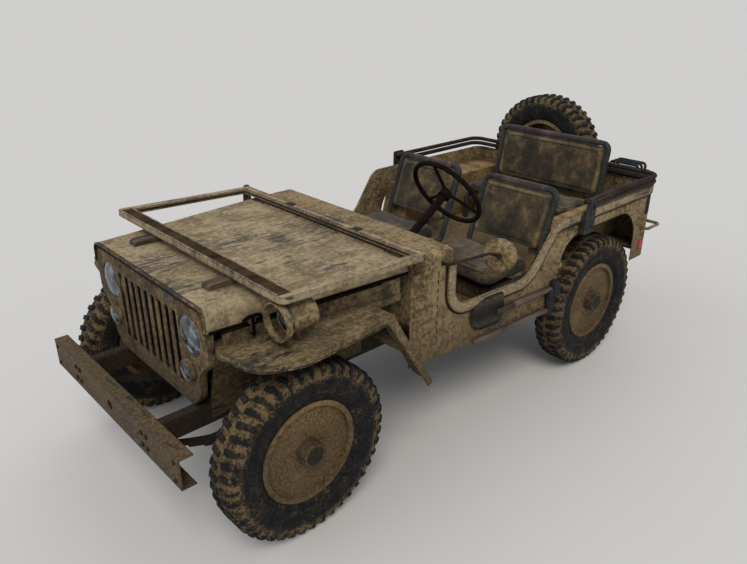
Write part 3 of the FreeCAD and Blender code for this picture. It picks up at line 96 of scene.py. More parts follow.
# Sheet steel, painted, then worn: mud dust in blotches, painted shade in the corners, dark bare streaks and
# edges.
# blotch, grain and streak are the noise's scale per metre: 6.5 gives blotches of 150 mm, 52 a grain of 19 mm,
# and streak (2.2, 9, 9) scratches four times as long as wide. The real grain of 1 mm wouldn't show, so it is
# drawn coarse. wear is where bare steel starts, edge the width in metres of the worn rims, and the last
# number the share of the dirt colour, which stands for painted shade in the corners and for dirt in specks
# and mud splash.
steelLooks = {
    # flat sand paint on pressed sheet, brushed on, dull and blotchy
    "bodyPaint": {"shade": "#57472F", "paint": "#7A674A", "dust": "#9A8967", "dirtAndShade": "#2B2015",
                  "bare": "#1D2027", "blotch": 6.5, "grain": 52, "streak": (2.2, 9, 9),
                  "wear": 0.625, "edge": 0.007, "dirtAndShadeShare": 0.62},
    # the same paint in the grille's ribs, darker with road dirt
    "grillePaint": {"shade": "#33281A", "paint": "#54452E", "dust": "#7A6845", "dirtAndShade": "#20170E",
                    "bare": "#17191E", "blotch": 9, "grain": 52, "streak": (9, 9, 2.5),
                    "wear": 0.59, "edge": 0.008, "dirtAndShadeShare": 0.75},
    # sun-bleached paint, rubbed through in long dark scratches
    "hoodPaint": {"shade": "#6E5E47", "paint": "#8A7A60", "dust": "#A7977A", "dirtAndShade": "#3D2F20",
                  "bare": "#1F222A", "blotch": 6.0, "grain": 50, "streak": (1.3, 9, 9),
                  "wear": 0.585, "edge": 0.009, "dirtAndShadeShare": 0.5},
    # paint under thrown mud, darker than the body
    "fenderPaint": {"shade": "#423725", "paint": "#64553D", "dust": "#897857", "dirtAndShade": "#241B12",
                    "bare": "#1B1E26", "blotch": 8.0, "grain": 52, "streak": (1.6, 9, 9),
                    "wear": 0.59, "edge": 0.009, "dirtAndShadeShare": 0.6},
    # rolled edges, nearly bare and dark
    "edgePaint": {"shade": "#2C2720", "paint": "#4B4030", "dust": "#7A6B50", "dirtAndShade": "#16120E",
                  "bare": "#15171D", "blotch": 16, "grain": 60, "streak": (6, 6, 6),
                  "wear": 0.53, "edge": 0.004, "dirtAndShadeShare": 0.6},
    # forged blade with the paint worn off
    "bladePaint": {"shade": "#33291C", "paint": "#4E412D", "dust": "#5E5039", "dirtAndShade": "#16120E",
                   "bare": "#15181E", "blotch": 12, "grain": 70, "streak": (9, 9, 6),
                   "wear": 0.55, "edge": 0.006, "dirtAndShadeShare": 0.6},
    # chassis steel, brown-black and caked
    "framePaint": {"shade": "#221B13", "paint": "#33291C", "dust": "#4F402B", "dirtAndShade": "#14100C",
                   "bare": "#181A1F", "blotch": 7, "grain": 60, "streak": (4, 8, 8),
                   "wear": 0.62, "edge": 0.006, "dirtAndShadeShare": 0.7},
    # heavy channel steel, scuffed along its length
    "bumperPaint": {"shade": "#423522", "paint": "#63533C", "dust": "#857355", "dirtAndShade": "#221910",
                    "bare": "#1A1C22", "blotch": 7, "grain": 70, "streak": (8, 2.0, 8),
                    "wear": 0.58, "edge": 0.009, "dirtAndShadeShare": 0.6},
    # pressed wheel discs, evenly dusted yellow-brown
    "wheelPaint": {"shade": "#54432C", "paint": "#806A47", "dust": "#A38B62", "dirtAndShade": "#281D12",
                   "bare": "#1E1D1C", "blotch": 8, "grain": 80, "streak": (9, 9, 9),
                   "wear": 0.68, "edge": 0.005, "dirtAndShadeShare": 0.65},
    # drawn tube, blue-black, polished by hands
    "tubePaint": {"shade": "#1E2021", "paint": "#2E3132", "dust": "#45433B", "dirtAndShade": "#141210",
                  "bare": "#3A3E42", "blotch": 12, "grain": 90, "streak": (9, 9, 9),
                  "wear": 0.66, "edge": 0.003, "dirtAndShadeShare": 0.4},
    # thin tube, brown-black and dull
    "bowPaint": {"shade": "#17120F", "paint": "#211A15", "dust": "#3A2F23", "dirtAndShade": "#0F0C0A",
                 "bare": "#2B2B2D", "blotch": 12, "grain": 90, "streak": (3, 9, 9),
                 "wear": 0.68, "edge": 0.003, "dirtAndShadeShare": 0.4},
    # pressed can and brackets, blue-black satin
    "canPaint": {"shade": "#14171D", "paint": "#1F242C", "dust": "#3A382F", "dirtAndShade": "#0E0F12",
                 "bare": "#33373E", "blotch": 9, "grain": 80, "streak": (9, 9, 4),
                 "wear": 0.64, "edge": 0.005, "dirtAndShadeShare": 0.5},
    # cast iron, oily and nearly black
    "engineIron": {"shade": "#12100E", "paint": "#1B1916", "dust": "#2B261E", "dirtAndShade": "#0B0A08",
                   "bare": "#262626", "blotch": 9, "grain": 60, "streak": (9, 9, 9),
                   "wear": 0.7, "edge": 0.004, "dirtAndShadeShare": 0.6},
}


def weatheredSteel(name):
    look = steelLooks[name]
    material, tree, shader = newMaterial(name)
    place = addNode(tree, "ShaderNodeTexCoord").outputs["Object"]
    stretched = addNode(tree, "ShaderNodeMapping", {"Vector": place, "Scale": look["streak"]})
    blotch = addNode(tree, "ShaderNodeTexNoise", {"Vector": place, "Scale": look["blotch"], "Detail": 8,
                                                  "Roughness": 0.66})
    grain = addNode(tree, "ShaderNodeTexNoise", {"Vector": place, "Scale": look["grain"], "Detail": 4,
                                                 "Roughness": 0.7})
    streak = addNode(tree, "ShaderNodeTexNoise", {"Vector": stretched.outputs[0], "Scale": 2.4, "Detail": 10,
                                                  "Roughness": 0.72})
    mottle = addNode(tree, "ShaderNodeMath", {0: blotch.outputs[0], 1: grain.outputs[0]}, operation="ADD")
    tint = addNode(tree, "ShaderNodeValToRGB", {0: addNode(
        tree, "ShaderNodeMath", {0: mottle.outputs[0], 1: 0.5}, operation="MULTIPLY").outputs[0]},
        ramp=[(0.41, look["shade"]), (0.585, look["dust"]), (0.485, look["paint"])])
    # crevices of 70 mm get painted shade from the occlusion, and mud splashes up from the ground, thick at
    # 0.42 m and gone at 0.82 m
    hollow = addNode(tree, "ShaderNodeAmbientOcclusion", {"Distance": 0.07}, samples=4)
    paintedCreviceShade = addNode(tree, "ShaderNodeMapRange", {0: hollow.outputs["AO"], 1: 0.35, 2: 0.95, 3: 1.0, 4: 0.0})
    speckle = addNode(tree, "ShaderNodeValToRGB", {0: streak.outputs[0]}, ramp=[(0.5, 0.0), (0.68, 1.0)])
    height = addNode(tree, "ShaderNodeSeparateXYZ", {0: place})
    low = addNode(tree, "ShaderNodeMapRange", {0: height.outputs["Z"], 1: 0.82, 2: 0.42, 3: 0.0, 4: 0.32})
    splash = addNode(tree, "ShaderNodeMath", {0: blotch.outputs[0], 1: low.outputs[0]}, operation="ADD")
    splashed = addNode(tree, "ShaderNodeValToRGB", {0: splash.outputs[0]}, ramp=[(0.58, 0.0), (0.8, 1.0)])
    dirtAndShadeMask = addNode(tree, "ShaderNodeMath", {0: paintedCreviceShade.outputs[0], 1: speckle.outputs[0]},
                   operation="MAXIMUM")
    dirtAndShadeMask = addNode(tree, "ShaderNodeMath", {0: dirtAndShadeMask.outputs[0], 1: splashed.outputs[0]}, operation="MAXIMUM")
    dirtAndShadeMask = addNode(tree, "ShaderNodeMath", {0: dirtAndShadeMask.outputs[0], 1: look["dirtAndShadeShare"]}, operation="MULTIPLY")
    # the dirt colour goes where the painted shade of the crevices, the specks and the mud splash are
    dirtiedAndShaded = addNode(tree, "ShaderNodeMix", {0: dirtAndShadeMask.outputs[0], 6: tint.outputs[0], 7: look["dirtAndShade"]},
                    data_type="RGBA")
    # paint is gone along the edges, in clusters of long scratches and along hairline cracks
    rounded = addNode(tree, "ShaderNodeBevel", {"Radius": look["edge"]}, samples=4)
    flat = addNode(tree, "ShaderNodeNewGeometry")
    facing = addNode(tree, "ShaderNodeVectorMath", {0: rounded.outputs[0], 1: flat.outputs["Normal"]},
                     operation="DOT_PRODUCT")
    edge = addNode(tree, "ShaderNodeMapRange", {0: facing.outputs["Value"], 1: 0.98, 2: 0.8, 3: 0.0, 4: 0.12})
    patch = addNode(tree, "ShaderNodeTexNoise", {"Vector": place, "Scale": 2.6, "Detail": 4,
                                                 "Roughness": 0.6})
    cluster = addNode(tree, "ShaderNodeMapRange", {0: patch.outputs[0], 1: 0.38, 2: 0.66, 3: -0.07, 4: 0.09})
    scratch = addNode(tree, "ShaderNodeTexNoise", {"Vector": stretched.outputs[0], "Scale": 5.5, "Detail": 12,
                                                   "Roughness": 0.78, "Distortion": 0.3})
    worn = addNode(tree, "ShaderNodeMath", {0: scratch.outputs[0], 1: edge.outputs[0]}, operation="ADD")
    worn = addNode(tree, "ShaderNodeMath", {0: worn.outputs[0], 1: cluster.outputs[0]}, operation="ADD")
    bareShare = addNode(tree, "ShaderNodeValToRGB", {0: worn.outputs[0]},
                        ramp=[(look["wear"] - 0.01, 0.0), (look["wear"] + 0.03, 0.92)])
    hair = addNode(tree, "ShaderNodeTexNoise", {"Vector": stretched.outputs[0], "Scale": 1.1, "Detail": 5,
                                                "Roughness": 0.5})
    line = addNode(tree, "ShaderNodeValToRGB", {0: hair.outputs[0]},
                   ramp=[(0.491, 0.0), (0.509, 0.0), (0.5, 0.8)])
    torn = addNode(tree, "ShaderNodeMapRange", {0: patch.outputs[0], 1: 0.5, 2: 0.58, 3: 0.0, 4: 1.0})
    crack = addNode(tree, "ShaderNodeMath", {0: line.outputs[0], 1: torn.outputs[0]}, operation="MULTIPLY")
    gone = addNode(tree, "ShaderNodeMath", {0: bareShare.outputs[0], 1: crack.outputs[0]},
                   operation="MAXIMUM")
    colour = addNode(tree, "ShaderNodeMix", {0: gone.outputs[0], 6: dirtiedAndShaded.outputs[2], 7: look["bare"]},
                     data_type="RGBA")
    tree.links.new(colour.outputs[2], shader.inputs["Base Color"])
    rough = addNode(tree, "ShaderNodeMapRange", {0: gone.outputs[0], 1: 0.0, 2: 1.0, 3: 0.9, 4: 0.55})
    tree.links.new(rough.outputs[0], shader.inputs["Roughness"])
    shader.inputs["Specular IOR Level"].default_value = 0.3
    relief = addNode(tree, "ShaderNodeMath", {0: mottle.outputs[0], 1: gone.outputs[0]}, operation="SUBTRACT")
    bump = addNode(tree, "ShaderNodeBump", {"Height": relief.outputs[0], "Strength": 0.4, "Distance": 0.002,
                                            "Normal": rounded.outputs[0]})
    tree.links.new(bump.outputs[0], shader.inputs["Normal"])
    return material


def muddyRubber():
    # moulded tyre rubber, near black and dull; mud has dried in clods of 60 mm where the mud attribute is 1,
    # between the lugs, and lies thin on their faces and the walls
    material, tree, shader = newMaterial("tyreRubber")
    place = addNode(tree, "ShaderNodeTexCoord").outputs["Object"]
    clods = addNode(tree, "ShaderNodeTexNoise", {"Vector": place, "Scale": 16, "Detail": 9,
                                                 "Roughness": 0.72})
    dust = addNode(tree, "ShaderNodeTexNoise", {"Vector": place, "Scale": 90, "Detail": 4, "Roughness": 0.7})
    both = addNode(tree, "ShaderNodeMath", {0: clods.outputs[0], 1: dust.outputs[0]}, operation="ADD")
    between = addNode(tree, "ShaderNodeAttribute", attribute_name="mud")
    packed = addNode(tree, "ShaderNodeMapRange", {0: between.outputs["Fac"], 1: 0.0, 2: 1.0, 3: -0.07,
                                                  4: 0.17})
    mud = addNode(tree, "ShaderNodeMath", {0: both.outputs[0], 1: packed.outputs[0]}, operation="ADD")
    tint = addNode(tree, "ShaderNodeValToRGB", {0: addNode(
        tree, "ShaderNodeMath", {0: mud.outputs[0], 1: 0.5}, operation="MULTIPLY").outputs[0]},
        ramp=[(0.44, "#0D1016"), (0.63, "#6B5A3E"), (0.54, "#2E2820")])
    tree.links.new(tint.outputs[0], shader.inputs["Base Color"])
    shader.inputs["Roughness"].default_value = 0.9
    shader.inputs["Specular IOR Level"].default_value = 0.25
    bump = addNode(tree, "ShaderNodeBump", {"Height": both.outputs[0], "Strength": 0.5, "Distance": 0.003})
    tree.links.new(bump.outputs[0], shader.inputs["Normal"])
    return material


# Cotton duck and webbing: olive or brown threads under dust, with dark stains
clothLooks = {
    # seat pads: olive duck with dark stains
    "seatCanvas": {"dark": "#1F1910", "mid": "#40351F", "light": "#6C5B3B", "stain": "#14100A"},
    # sewn bands, newer and lighter duck
    "bandCanvas": {"dark": "#3F3623", "mid": "#62553A", "light": "#857453", "stain": "#2B2417"},
    # sleeves over the seats' top tubes, purple-grey
    "sleeveCanvas": {"dark": "#231D1D", "mid": "#3B3132", "light": "#5A4D4A", "stain": "#161213"},
    # piping and straps, dark close webbing
    "strapWebbing": {"dark": "#211B12", "mid": "#3B3122", "light": "#54472F", "stain": "#16120C"},
}


def dustyCanvas(name):
    # stains of 200 mm and blotches of 80 mm; the thread, really 0.8 mm, is drawn at 4 mm so that it shows
    look = clothLooks[name]
    material, tree, shader = newMaterial(name)
    place = addNode(tree, "ShaderNodeTexCoord").outputs["Object"]
    blotch = addNode(tree, "ShaderNodeTexNoise", {"Vector": place, "Scale": 13, "Detail": 9,
                                                  "Roughness": 0.74})
    tint = addNode(tree, "ShaderNodeValToRGB", {0: blotch.outputs[0]},
                   ramp=[(0.36, look["dark"]), (0.64, look["light"]), (0.5, look["mid"])])
    stain = addNode(tree, "ShaderNodeTexNoise", {"Vector": place, "Scale": 5, "Detail": 9, "Roughness": 0.72})
    stained = addNode(tree, "ShaderNodeValToRGB", {0: stain.outputs[0]}, ramp=[(0.47, 0.0), (0.6, 0.85)])
    colour = addNode(tree, "ShaderNodeMix", {0: stained.outputs[0], 6: tint.outputs[0], 7: look["stain"]},
                     data_type="RGBA")
    tree.links.new(colour.outputs[2], shader.inputs["Base Color"])
    shader.inputs["Roughness"].default_value = 0.95
    shader.inputs["Sheen Weight"].default_value = 0.15
    perMetre = 250 / (2 * math.pi)
    weave = 0.0
    for side in ("X", "Y", "Z"):
        threads = addNode(tree, "ShaderNodeTexWave", {"Vector": place, "Scale": perMetre, "Distortion": 0.6},
                          bands_direction=side)
        weave = addNode(tree, "ShaderNodeMath", {0: weave, 1: threads.outputs[0]}, operation="ADD").outputs[0]
    bump = addNode(tree, "ShaderNodeBump", {"Height": weave, "Strength": 0.3, "Distance": 0.0008})
    tree.links.new(bump.outputs[0], shader.inputs["Normal"])
    return material


# Small parts: a dark and a light colour in a grain that is four times as long as wide; scale 20 is 50 mm
plainLooks = {
    # hard rubber of the steering wheel and pedals, brown-black and dull
    "rimPlastic": {"dark": "#0A0705", "light": "#1E150F", "rough": 0.92, "scale": 20, "metal": 0.0},
    # ash handles, greyed, with a long grain
    "ashWood": {"dark": "#352B28", "light": "#6A5A55", "rough": 0.7, "scale": 12, "metal": 0.0},
    # wooden rests on the hood, dark where they are oiled
    "blockWood": {"dark": "#1E1F22", "light": "#6B5A43", "rough": 0.85, "scale": 14, "metal": 0.0},
    # black enamel dials
    "gaugeFace": {"dark": "#0D0D0D", "light": "#1C1B19", "rough": 0.5, "scale": 20, "metal": 0.0},
    # pale cotton thread of the stitches
    "threadCotton": {"dark": "#5D5138", "light": "#8F815E", "rough": 0.9, "scale": 60, "metal": 0.0},
    # dark lines: painted shade under the rim band, the hood's roll and the fenders' joints, and dark dashes
    # down the cowl's joint
    "seamDirtAndShade": {"dark": "#1A120B", "light": "#35261A", "rough": 0.95, "scale": 40, "metal": 0.0},
    # dark brown in the windshield's channel, between its lips
    "channelBrown": {"dark": "#1C140C", "light": "#4A3B27", "rough": 0.95, "scale": 14, "metal": 0.0},
    # black: painted shade behind the slots and under the hood's hem, and the black toggle catches
    "blackAndPaintedShade": {"dark": "#050403", "light": "#0C0A08", "rough": 1.0, "scale": 40, "metal": 0.0},
    # white marks and needles of the dials
    "chalkPaint": {"dark": "#8F8B7C", "light": "#C9C4B2", "rough": 0.8, "scale": 60, "metal": 0.0},
    # red moulded lamp lenses, glossy
    "redLens": {"dark": "#7E1209", "light": "#B5220F", "rough": 0.25, "scale": 30, "metal": 0.0},
    # silvered glass, a metal that reflects
    "mirrorSilver": {"dark": "#5E6468", "light": "#7E868A", "rough": 0.1, "scale": 20, "metal": 1.0},
    # tarnished lamp reflectors, half bright
    "reflectorSteel": {"dark": "#6E7880", "light": "#9AA4AA", "rough": 0.3, "scale": 20, "metal": 0.6},
    # the radiator's core, black and brown
    "coreCopper": {"dark": "#0F0E0C", "light": "#2A241C", "rough": 0.8, "scale": 40, "metal": 0.0},
}


def stainedSurface(name):
    look = plainLooks[name]
    material, tree, shader = newMaterial(name)
    place = addNode(tree, "ShaderNodeTexCoord").outputs["Object"]
    grain = addNode(tree, "ShaderNodeMapping", {"Vector": place, "Scale": (0.25, 1, 1)})
    noise = addNode(tree, "ShaderNodeTexNoise", {"Vector": grain.outputs[0], "Scale": look["scale"],
                                                 "Detail": 8, "Roughness": 0.7})
    tint = addNode(tree, "ShaderNodeValToRGB", {0: noise.outputs[0]},
                   ramp=[(0.36, look["dark"]), (0.64, look["light"])])
    tree.links.new(tint.outputs[0], shader.inputs["Base Color"])
    shader.inputs["Roughness"].default_value = look["rough"]
    shader.inputs["Metallic"].default_value = look["metal"]
    shader.inputs["Specular IOR Level"].default_value = 0.1 if look["rough"] > 0.9 else 0.35
    bump = addNode(tree, "ShaderNodeBump", {"Height": noise.outputs[0], "Strength": 0.2, "Distance": 0.001})
    tree.links.new(bump.outputs[0], shader.inputs["Normal"])
    return material


def glassWithPaintedReflections():
    # pressed lamp glass: its pale and near-black blotches are painted highlights and reflections
    material, tree, shader = newMaterial("lampGlass")
    place = addNode(tree, "ShaderNodeTexCoord").outputs["Object"]
    blotch = addNode(tree, "ShaderNodeTexNoise", {"Vector": place, "Scale": 22, "Detail": 6,
                                                  "Roughness": 0.6})
    tint = addNode(tree, "ShaderNodeValToRGB", {0: blotch.outputs[0]},
                   ramp=[(0.42, "#0F1217"), (0.64, "#98A0AC"), (0.52, "#4A535C")])
    tree.links.new(tint.outputs[0], shader.inputs["Base Color"])
    shader.inputs["Roughness"].default_value = 0.12
    shader.inputs["Transmission Weight"].default_value = 0.45
    shader.inputs["IOR"].default_value = 1.45
    return material


materials = {name: weatheredSteel(name) for name in steelLooks}
materials.update({name: dustyCanvas(name) for name in clothLooks})
materials.update({name: stainedSurface(name) for name in plainLooks})
materials["tyreRubber"] = muddyRubber()
materials["lampGlass"] = glassWithPaintedReflections()
nodeFinish = {
    "grillePaint": ["grille"],
    "bodyPaint": ["cowl", "tub", "floor", "wheel_wells", "rear_carriers", "lamps",
                  "grab_handles", "windshield_hinges"],
    "hoodPaint": ["hood", "windshield"],
    "fenderPaint": ["fender_left", "fender_right"],
    "blockWood": ["hood_fittings"],
    "framePaint": ["frame", "cross_members", "rear_bumpers", "front_axle", "rear_axle", "knuckle_left",
                   "knuckle_right", "tie_rod", "leaf_springs", "exhaust"],
    "bumperPaint": ["front_bumper", "fuel_tank"],
    "wheelPaint": [n for n in nodes if n.startswith("wheel_")] + ["spare_wheel"],
    "tubePaint": ["seat_frames", "controls", "bow_brackets"],
    "bowPaint": ["bow_front", "bow_rear", "mirror"],
    "canPaint": ["jerrycan"],
    "engineIron": ["engine_block", "transmission"],
    "coreCopper": ["radiator"],
    "rimPlastic": ["steering_wheel", "steering_column"],
    "seatCanvas": ["seat_pads", "bench_pads"],
    "ashWood": ["hand_tools"],
    "tyreRubber": [n for n in nodes if "tyre" in n],
}
for finish, members in nodeFinish.items():
    for member in members:
        nodes[member].data.materials.clear()
        nodes[member].data.materials.append(materials[finish])
print("materials:", len(materials))


# Making shapes

def box(low, high):
    bm = bmesh.new()
    low, high = Vector(low), Vector(high)
    size = Matrix.Diagonal((*(high - low), 1))
    bmesh.ops.create_cube(bm, size=1, matrix=Matrix.Translation((low + high) / 2) @ size)
    return bm


def rod(start, end, radius, segments=20, tip=None):
    bm = bmesh.new()
    start, end = Vector(start), Vector(end)
    along = end - start
    turn = up.rotation_difference(along).to_matrix().to_4x4()
    bmesh.ops.create_cone(bm, cap_ends=True, segments=segments, radius1=radius,
                          radius2=radius if tip is None else tip, depth=along.length,
                          matrix=Matrix.Translation((start + end) / 2) @ turn)
    return bm


def tube(points, radius, sides=4, curved=True):
    # a bent bar along a smooth line through the points
    curve = bpy.data.curves.new("path", "CURVE")
    curve.dimensions = "3D"
    curve.bevel_depth = radius
    curve.bevel_resolution = sides
    curve.use_fill_caps = True
    curve.resolution_u = 6
    line = curve.splines.new("NURBS" if curved else "POLY")
    line.points.add(len(points) - 1)
    for spot, point in zip(line.points, points):
        spot.co = (*point, 1)
    if curved:
        line.order_u = 3
        line.use_endpoint_u = True
    holder = bpy.data.objects.new("path", curve)
    mesh = bpy.data.meshes.new_from_object(holder)
    bm = bmesh.new()
    bm.from_mesh(mesh)
    bpy.data.objects.remove(holder)
    bpy.data.meshes.remove(mesh)
    return bm


def bent(points, radius, sides=3):
    # a bar that follows the points themselves
    return tube(points, radius, sides, curved=False)


def gather(*parts):
    # several shapes in one bmesh
    whole = bmesh.new()
    for part in parts:
        mesh = bpy.data.meshes.new("part")
        part.to_mesh(mesh)
        part.free()
        whole.from_mesh(mesh)
        bpy.data.meshes.remove(mesh)
    return whole


def moved(bm, matrix):
    bmesh.ops.transform(bm, matrix=matrix, verts=bm.verts)
    return bm


def piece(name, bm, material, body="chassis", replaced=(), bevel=0.0, smooth=35):
    bmesh.ops.recalc_face_normals(bm, faces=bm.faces)
    mesh = bpy.data.meshes.new(name)
    bm.to_mesh(mesh)
    bm.free()
    made = bpy.data.objects.new(name, mesh)
    bpy.context.scene.collection.objects.link(made)
    mesh.materials.append(materials[material])
    for face in mesh.polygons:
        face.use_smooth = True
    mesh.set_sharp_from_angle(angle=math.radians(smooth))
    if bevel:
        edge = made.modifiers.new("edge", "BEVEL")
        edge.width = bevel
        edge.segments = 2
        edge.limit_method = "ANGLE"
    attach(made, body)
    if replaced:
        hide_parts(*replaced)
    return made


def bolt(place, normal, radius=0.008, height=0.006, sides=6):
    # a head that is sunk by 1 mm and a little narrower on top
    place, normal = Vector(place), Vector(normal).normalized()
    return rod(place - normal * 0.001, place + normal * height, radius, sides, radius * 0.88)


def rivet(x, y, z):
    # a round head on a side of the car
    return bolt(onCar(x, y, z), (0, math.copysign(1, y), 0), 0.0055, 0.003, 10)


# Tyres: a turned carcass with bar lugs that alternate over both shoulders

tyre = {"tread": 0.371, "tip": 0.3815, "half": 0.0795, "count": 44, "lugWidth": 0.0115, "steps": 88,
        "skew": 0.22, "ribs": ((0.246, 0.0695, 0.0022), (0.3, 0.0788, 0.0018))}
hubs = {"face": 0.0398, "nuts": 5, "ring": 0.082, "flat": 0.0505, "reach": 0.0888, "skirt": (0.006, 0.047),
        "cap": (0.039, 0.036), "capStart": 0.0885, "capEnd": 0.0935}


def tyreShape():
    profile = [(0.2036, -0.0524), (0.2232, -0.0524), (0.2405, -0.066), (0.262, -0.0745), (0.285, -0.079),
               (0.31, -0.0792), (0.336, -0.0765), (0.356, -0.0715), (0.367, -0.063), (tyre["tread"], -0.05),
               (tyre["tread"] + 0.001, 0.0)]
    profile = profile + [(r, -y) for r, y in profile[-2::-1]]
    bm = bmesh.new()
    ring = [bm.verts.new((r, y, 0)) for r, y in profile]
    edges = [bm.edges.new(pair) for pair in zip(ring, ring[1:] + ring[:1])]
    bmesh.ops.spin(bm, geom=ring + edges, cent=(0, 0, 0), axis=(0, 1, 0), angle=math.tau, steps=tyre["steps"],
                   use_merge=True, use_duplicate=False)
    bmesh.ops.remove_doubles(bm, verts=bm.verts, dist=1e-5)
    lugs = []
    bar = [(0.012, 0.366), (0.012, tyre["tip"]), (0.058, tyre["tip"] - 0.001), (0.0735, 0.3675),
           (tyre["half"], 0.349), (tyre["half"], 0.335), (0.071, 0.345), (0.06, 0.362)]
    for side in (1, -1):
        for i in range(tyre["count"]):
            lug = bmesh.new()
            face = lug.faces.new([lug.verts.new((-tyre["lugWidth"], y * side, r)) for y, r in bar])
            grown = bmesh.ops.extrude_face_region(lug, geom=[face])
            far = [v for v in grown["geom"] if isinstance(v, bmesh.types.BMVert)]
            bmesh.ops.translate(lug, vec=(2 * tyre["lugWidth"], 0, 0), verts=far)
            bmesh.ops.recalc_face_normals(lug, faces=lug.faces)
            bmesh.ops.bevel(lug, geom=lug.edges[:], offset=0.0018, segments=1, profile=0.5, affect="EDGES",
                            material=-1)
            angle = math.tau * (i + (0.5 if side < 0 else 0)) / tyre["count"]
            skew = Matrix.Rotation(side * tyre["skew"], 4, "Z")
            lugs.append(moved(lug, Matrix.Rotation(angle, 4, "Y") @ skew))
    ribs = []
    for side in (1, -1):
        for r, y, thick in tyre["ribs"]:
            rib = bmesh.new()
            bmesh.ops.create_circle(rib, segments=8, radius=thick,
                                    matrix=Matrix.Translation((r, side * y, 0)))
            bmesh.ops.spin(rib, geom=rib.verts[:] + rib.edges[:], cent=(0, 0, 0), axis=(0, 1, 0),
                           angle=math.tau, steps=tyre["steps"], use_merge=True, use_duplicate=False)
            bmesh.ops.remove_doubles(rib, verts=rib.verts, dist=1e-5)
            ribs.append(rib)
    return gather(bm, *lugs, *ribs)


def markMud(made, place):
    # 1 on the carcass between the lugs, 0 on the lugs' faces and on the walls
    home = place.inverted()
    mud = made.data.attributes.new("mud", "FLOAT", "POINT")
    for v, mark in zip(made.data.vertices, mud.data):
        x, y, z = home @ v.co
        r = math.hypot(x, z)
        onLug = r > 0.374 or (r > 0.33 and abs(y) > 0.078) or (r > 0.36 and abs(y) > 0.07)
        mark.value = 0.0 if onLug or r < 0.325 else 1.0


def wheelPlaces():
    for end in ("front", "rear"):
        for side, turn in (("left", 0), ("right", math.pi)):
            place = Matrix.Translation(joints[f"spin_{end}_{side}"]) @ Matrix.Rotation(turn, 4, "Z")
            yield f"{end}_{side}", f"{end}_{side}_wheel", place
    low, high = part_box("spare_tyre")
    yield "spare", "chassis", Matrix.Translation((low + high) / 2) @ Matrix.Rotation(math.pi / 2, 4, "Z")


def makeWheels():
    master = tyreShape()
    for name, body, place in wheelPlaces():
        node = "spare_tyre" if name == "spare" else "tyre_" + name
        rubber = piece("treaded_" + node, moved(master.copy(), place), "tyreRubber", body,
                       [node], smooth=40)
        markMud(rubber, place)
        if name == "spare":
            continue
        ring = hubs["ring"]
        nuts = [bolt((ring * math.cos(a), hubs["face"] + 0.0004, ring * math.sin(a)), (0, 1, 0), 0.0095,
                     0.009) for a in [math.tau * (i + 0.25) / hubs["nuts"] for i in range(hubs["nuts"])]]
        # an eight-sided drum with a skirt, flats up and down, and a round cap on it
        corner, eighth = hubs["flat"] / math.cos(math.pi / 8), Matrix.Rotation(math.pi / 8, 4, "Y")
        wider, low = hubs["skirt"]
        drum = gather(moved(rod((0, hubs["face"], 0), (0, hubs["reach"], 0), corner, 8), eighth),
                      moved(rod((0, hubs["face"], 0), (0, low, 0), corner + wider, 8), eighth))
        wide, narrow = hubs["cap"]
        cap = rod((0, hubs["capStart"], 0), (0, hubs["capEnd"], 0), wide, 24, narrow)
        for part, shape, paint in (("nuts_", gather(*nuts), "wheelPaint"), ("hub_", drum, "bumperPaint"),
                                   ("cap_", cap, "framePaint")):
            piece(part + name, moved(shape, place), paint, body, bevel=0.0015)
    master.free()
    print("wheels done")


makeWheels()


# Seats: canvas pads, swelled by a cloth simulation, with piping and a row of stitches

def newObject(name, bm):
    mesh = bpy.data.meshes.new(name)
    bm.to_mesh(mesh)
    bm.free()
    made = bpy.data.objects.new(name, mesh)
    bpy.context.scene.collection.objects.link(made)
    return made


def applied(holder):
    # a bmesh of an object with its modifiers done; the object goes
    shape = holder.evaluated_get(bpy.context.evaluated_depsgraph_get()).to_mesh()
    bm = bmesh.new()
    bm.from_mesh(shape)
    bpy.data.objects.remove(holder)
    return bm


def swell(bm, voxel, reach, pressure=4.0):
    # returns the pad after the simulation, no point moved by more than reach
    pad = newObject("pad", bm)
    remesh = pad.modifiers.new("remesh", "REMESH")
    remesh.mode = "VOXEL"
    remesh.voxel_size = voxel
    start = applied(pad)
    rest = [v.co.copy() for v in start.verts]
    pad = newObject("pad", start)
    cloth = pad.modifiers.new("cloth", "CLOTH")
    cloth.settings.use_pressure = True
    cloth.settings.uniform_pressure_force = pressure
    cloth.settings.effector_weights.gravity = 0
    cloth.settings.quality = 4
    cloth.settings.tension_stiffness = 12
    cloth.settings.compression_stiffness = 12
    cloth.point_cache.frame_end = 20
    for number in range(1, 21):
        bpy.context.scene.frame_set(number)
    grown = applied(pad)
    bpy.context.scene.frame_set(1)
    for v, old in zip(grown.verts, rest):
        shift = v.co - old
        if shift.length > reach:
            shift = shift * (reach / shift.length)
        v.co = old + shift
    for again in range(2):
        bmesh.ops.smooth_vert(grown, verts=grown.verts, factor=0.5, use_axis_x=True, use_axis_y=True,
                              use_axis_z=True)
    return grown


def rounded(size, crown, corner):
    # a cushion's start: a box about its middle, with round corners in plan and round rims
    bm = bmesh.new()
    bmesh.ops.create_cube(bm, size=1, matrix=Matrix.Diagonal((*size, 1)))
    upright = [e for e in bm.edges if abs((e.verts[0].co - e.verts[1].co).z) > 1e-6]
    bmesh.ops.bevel(bm, geom=upright, offset=corner, segments=5, profile=0.5, affect="EDGES", material=-1)
    rim = [e for e in bm.edges if abs((e.verts[0].co - e.verts[1].co).z) < 1e-6]
    bmesh.ops.bevel(bm, geom=rim, offset=crown, segments=3, profile=0.5, affect="EDGES", material=-1)
    return bm


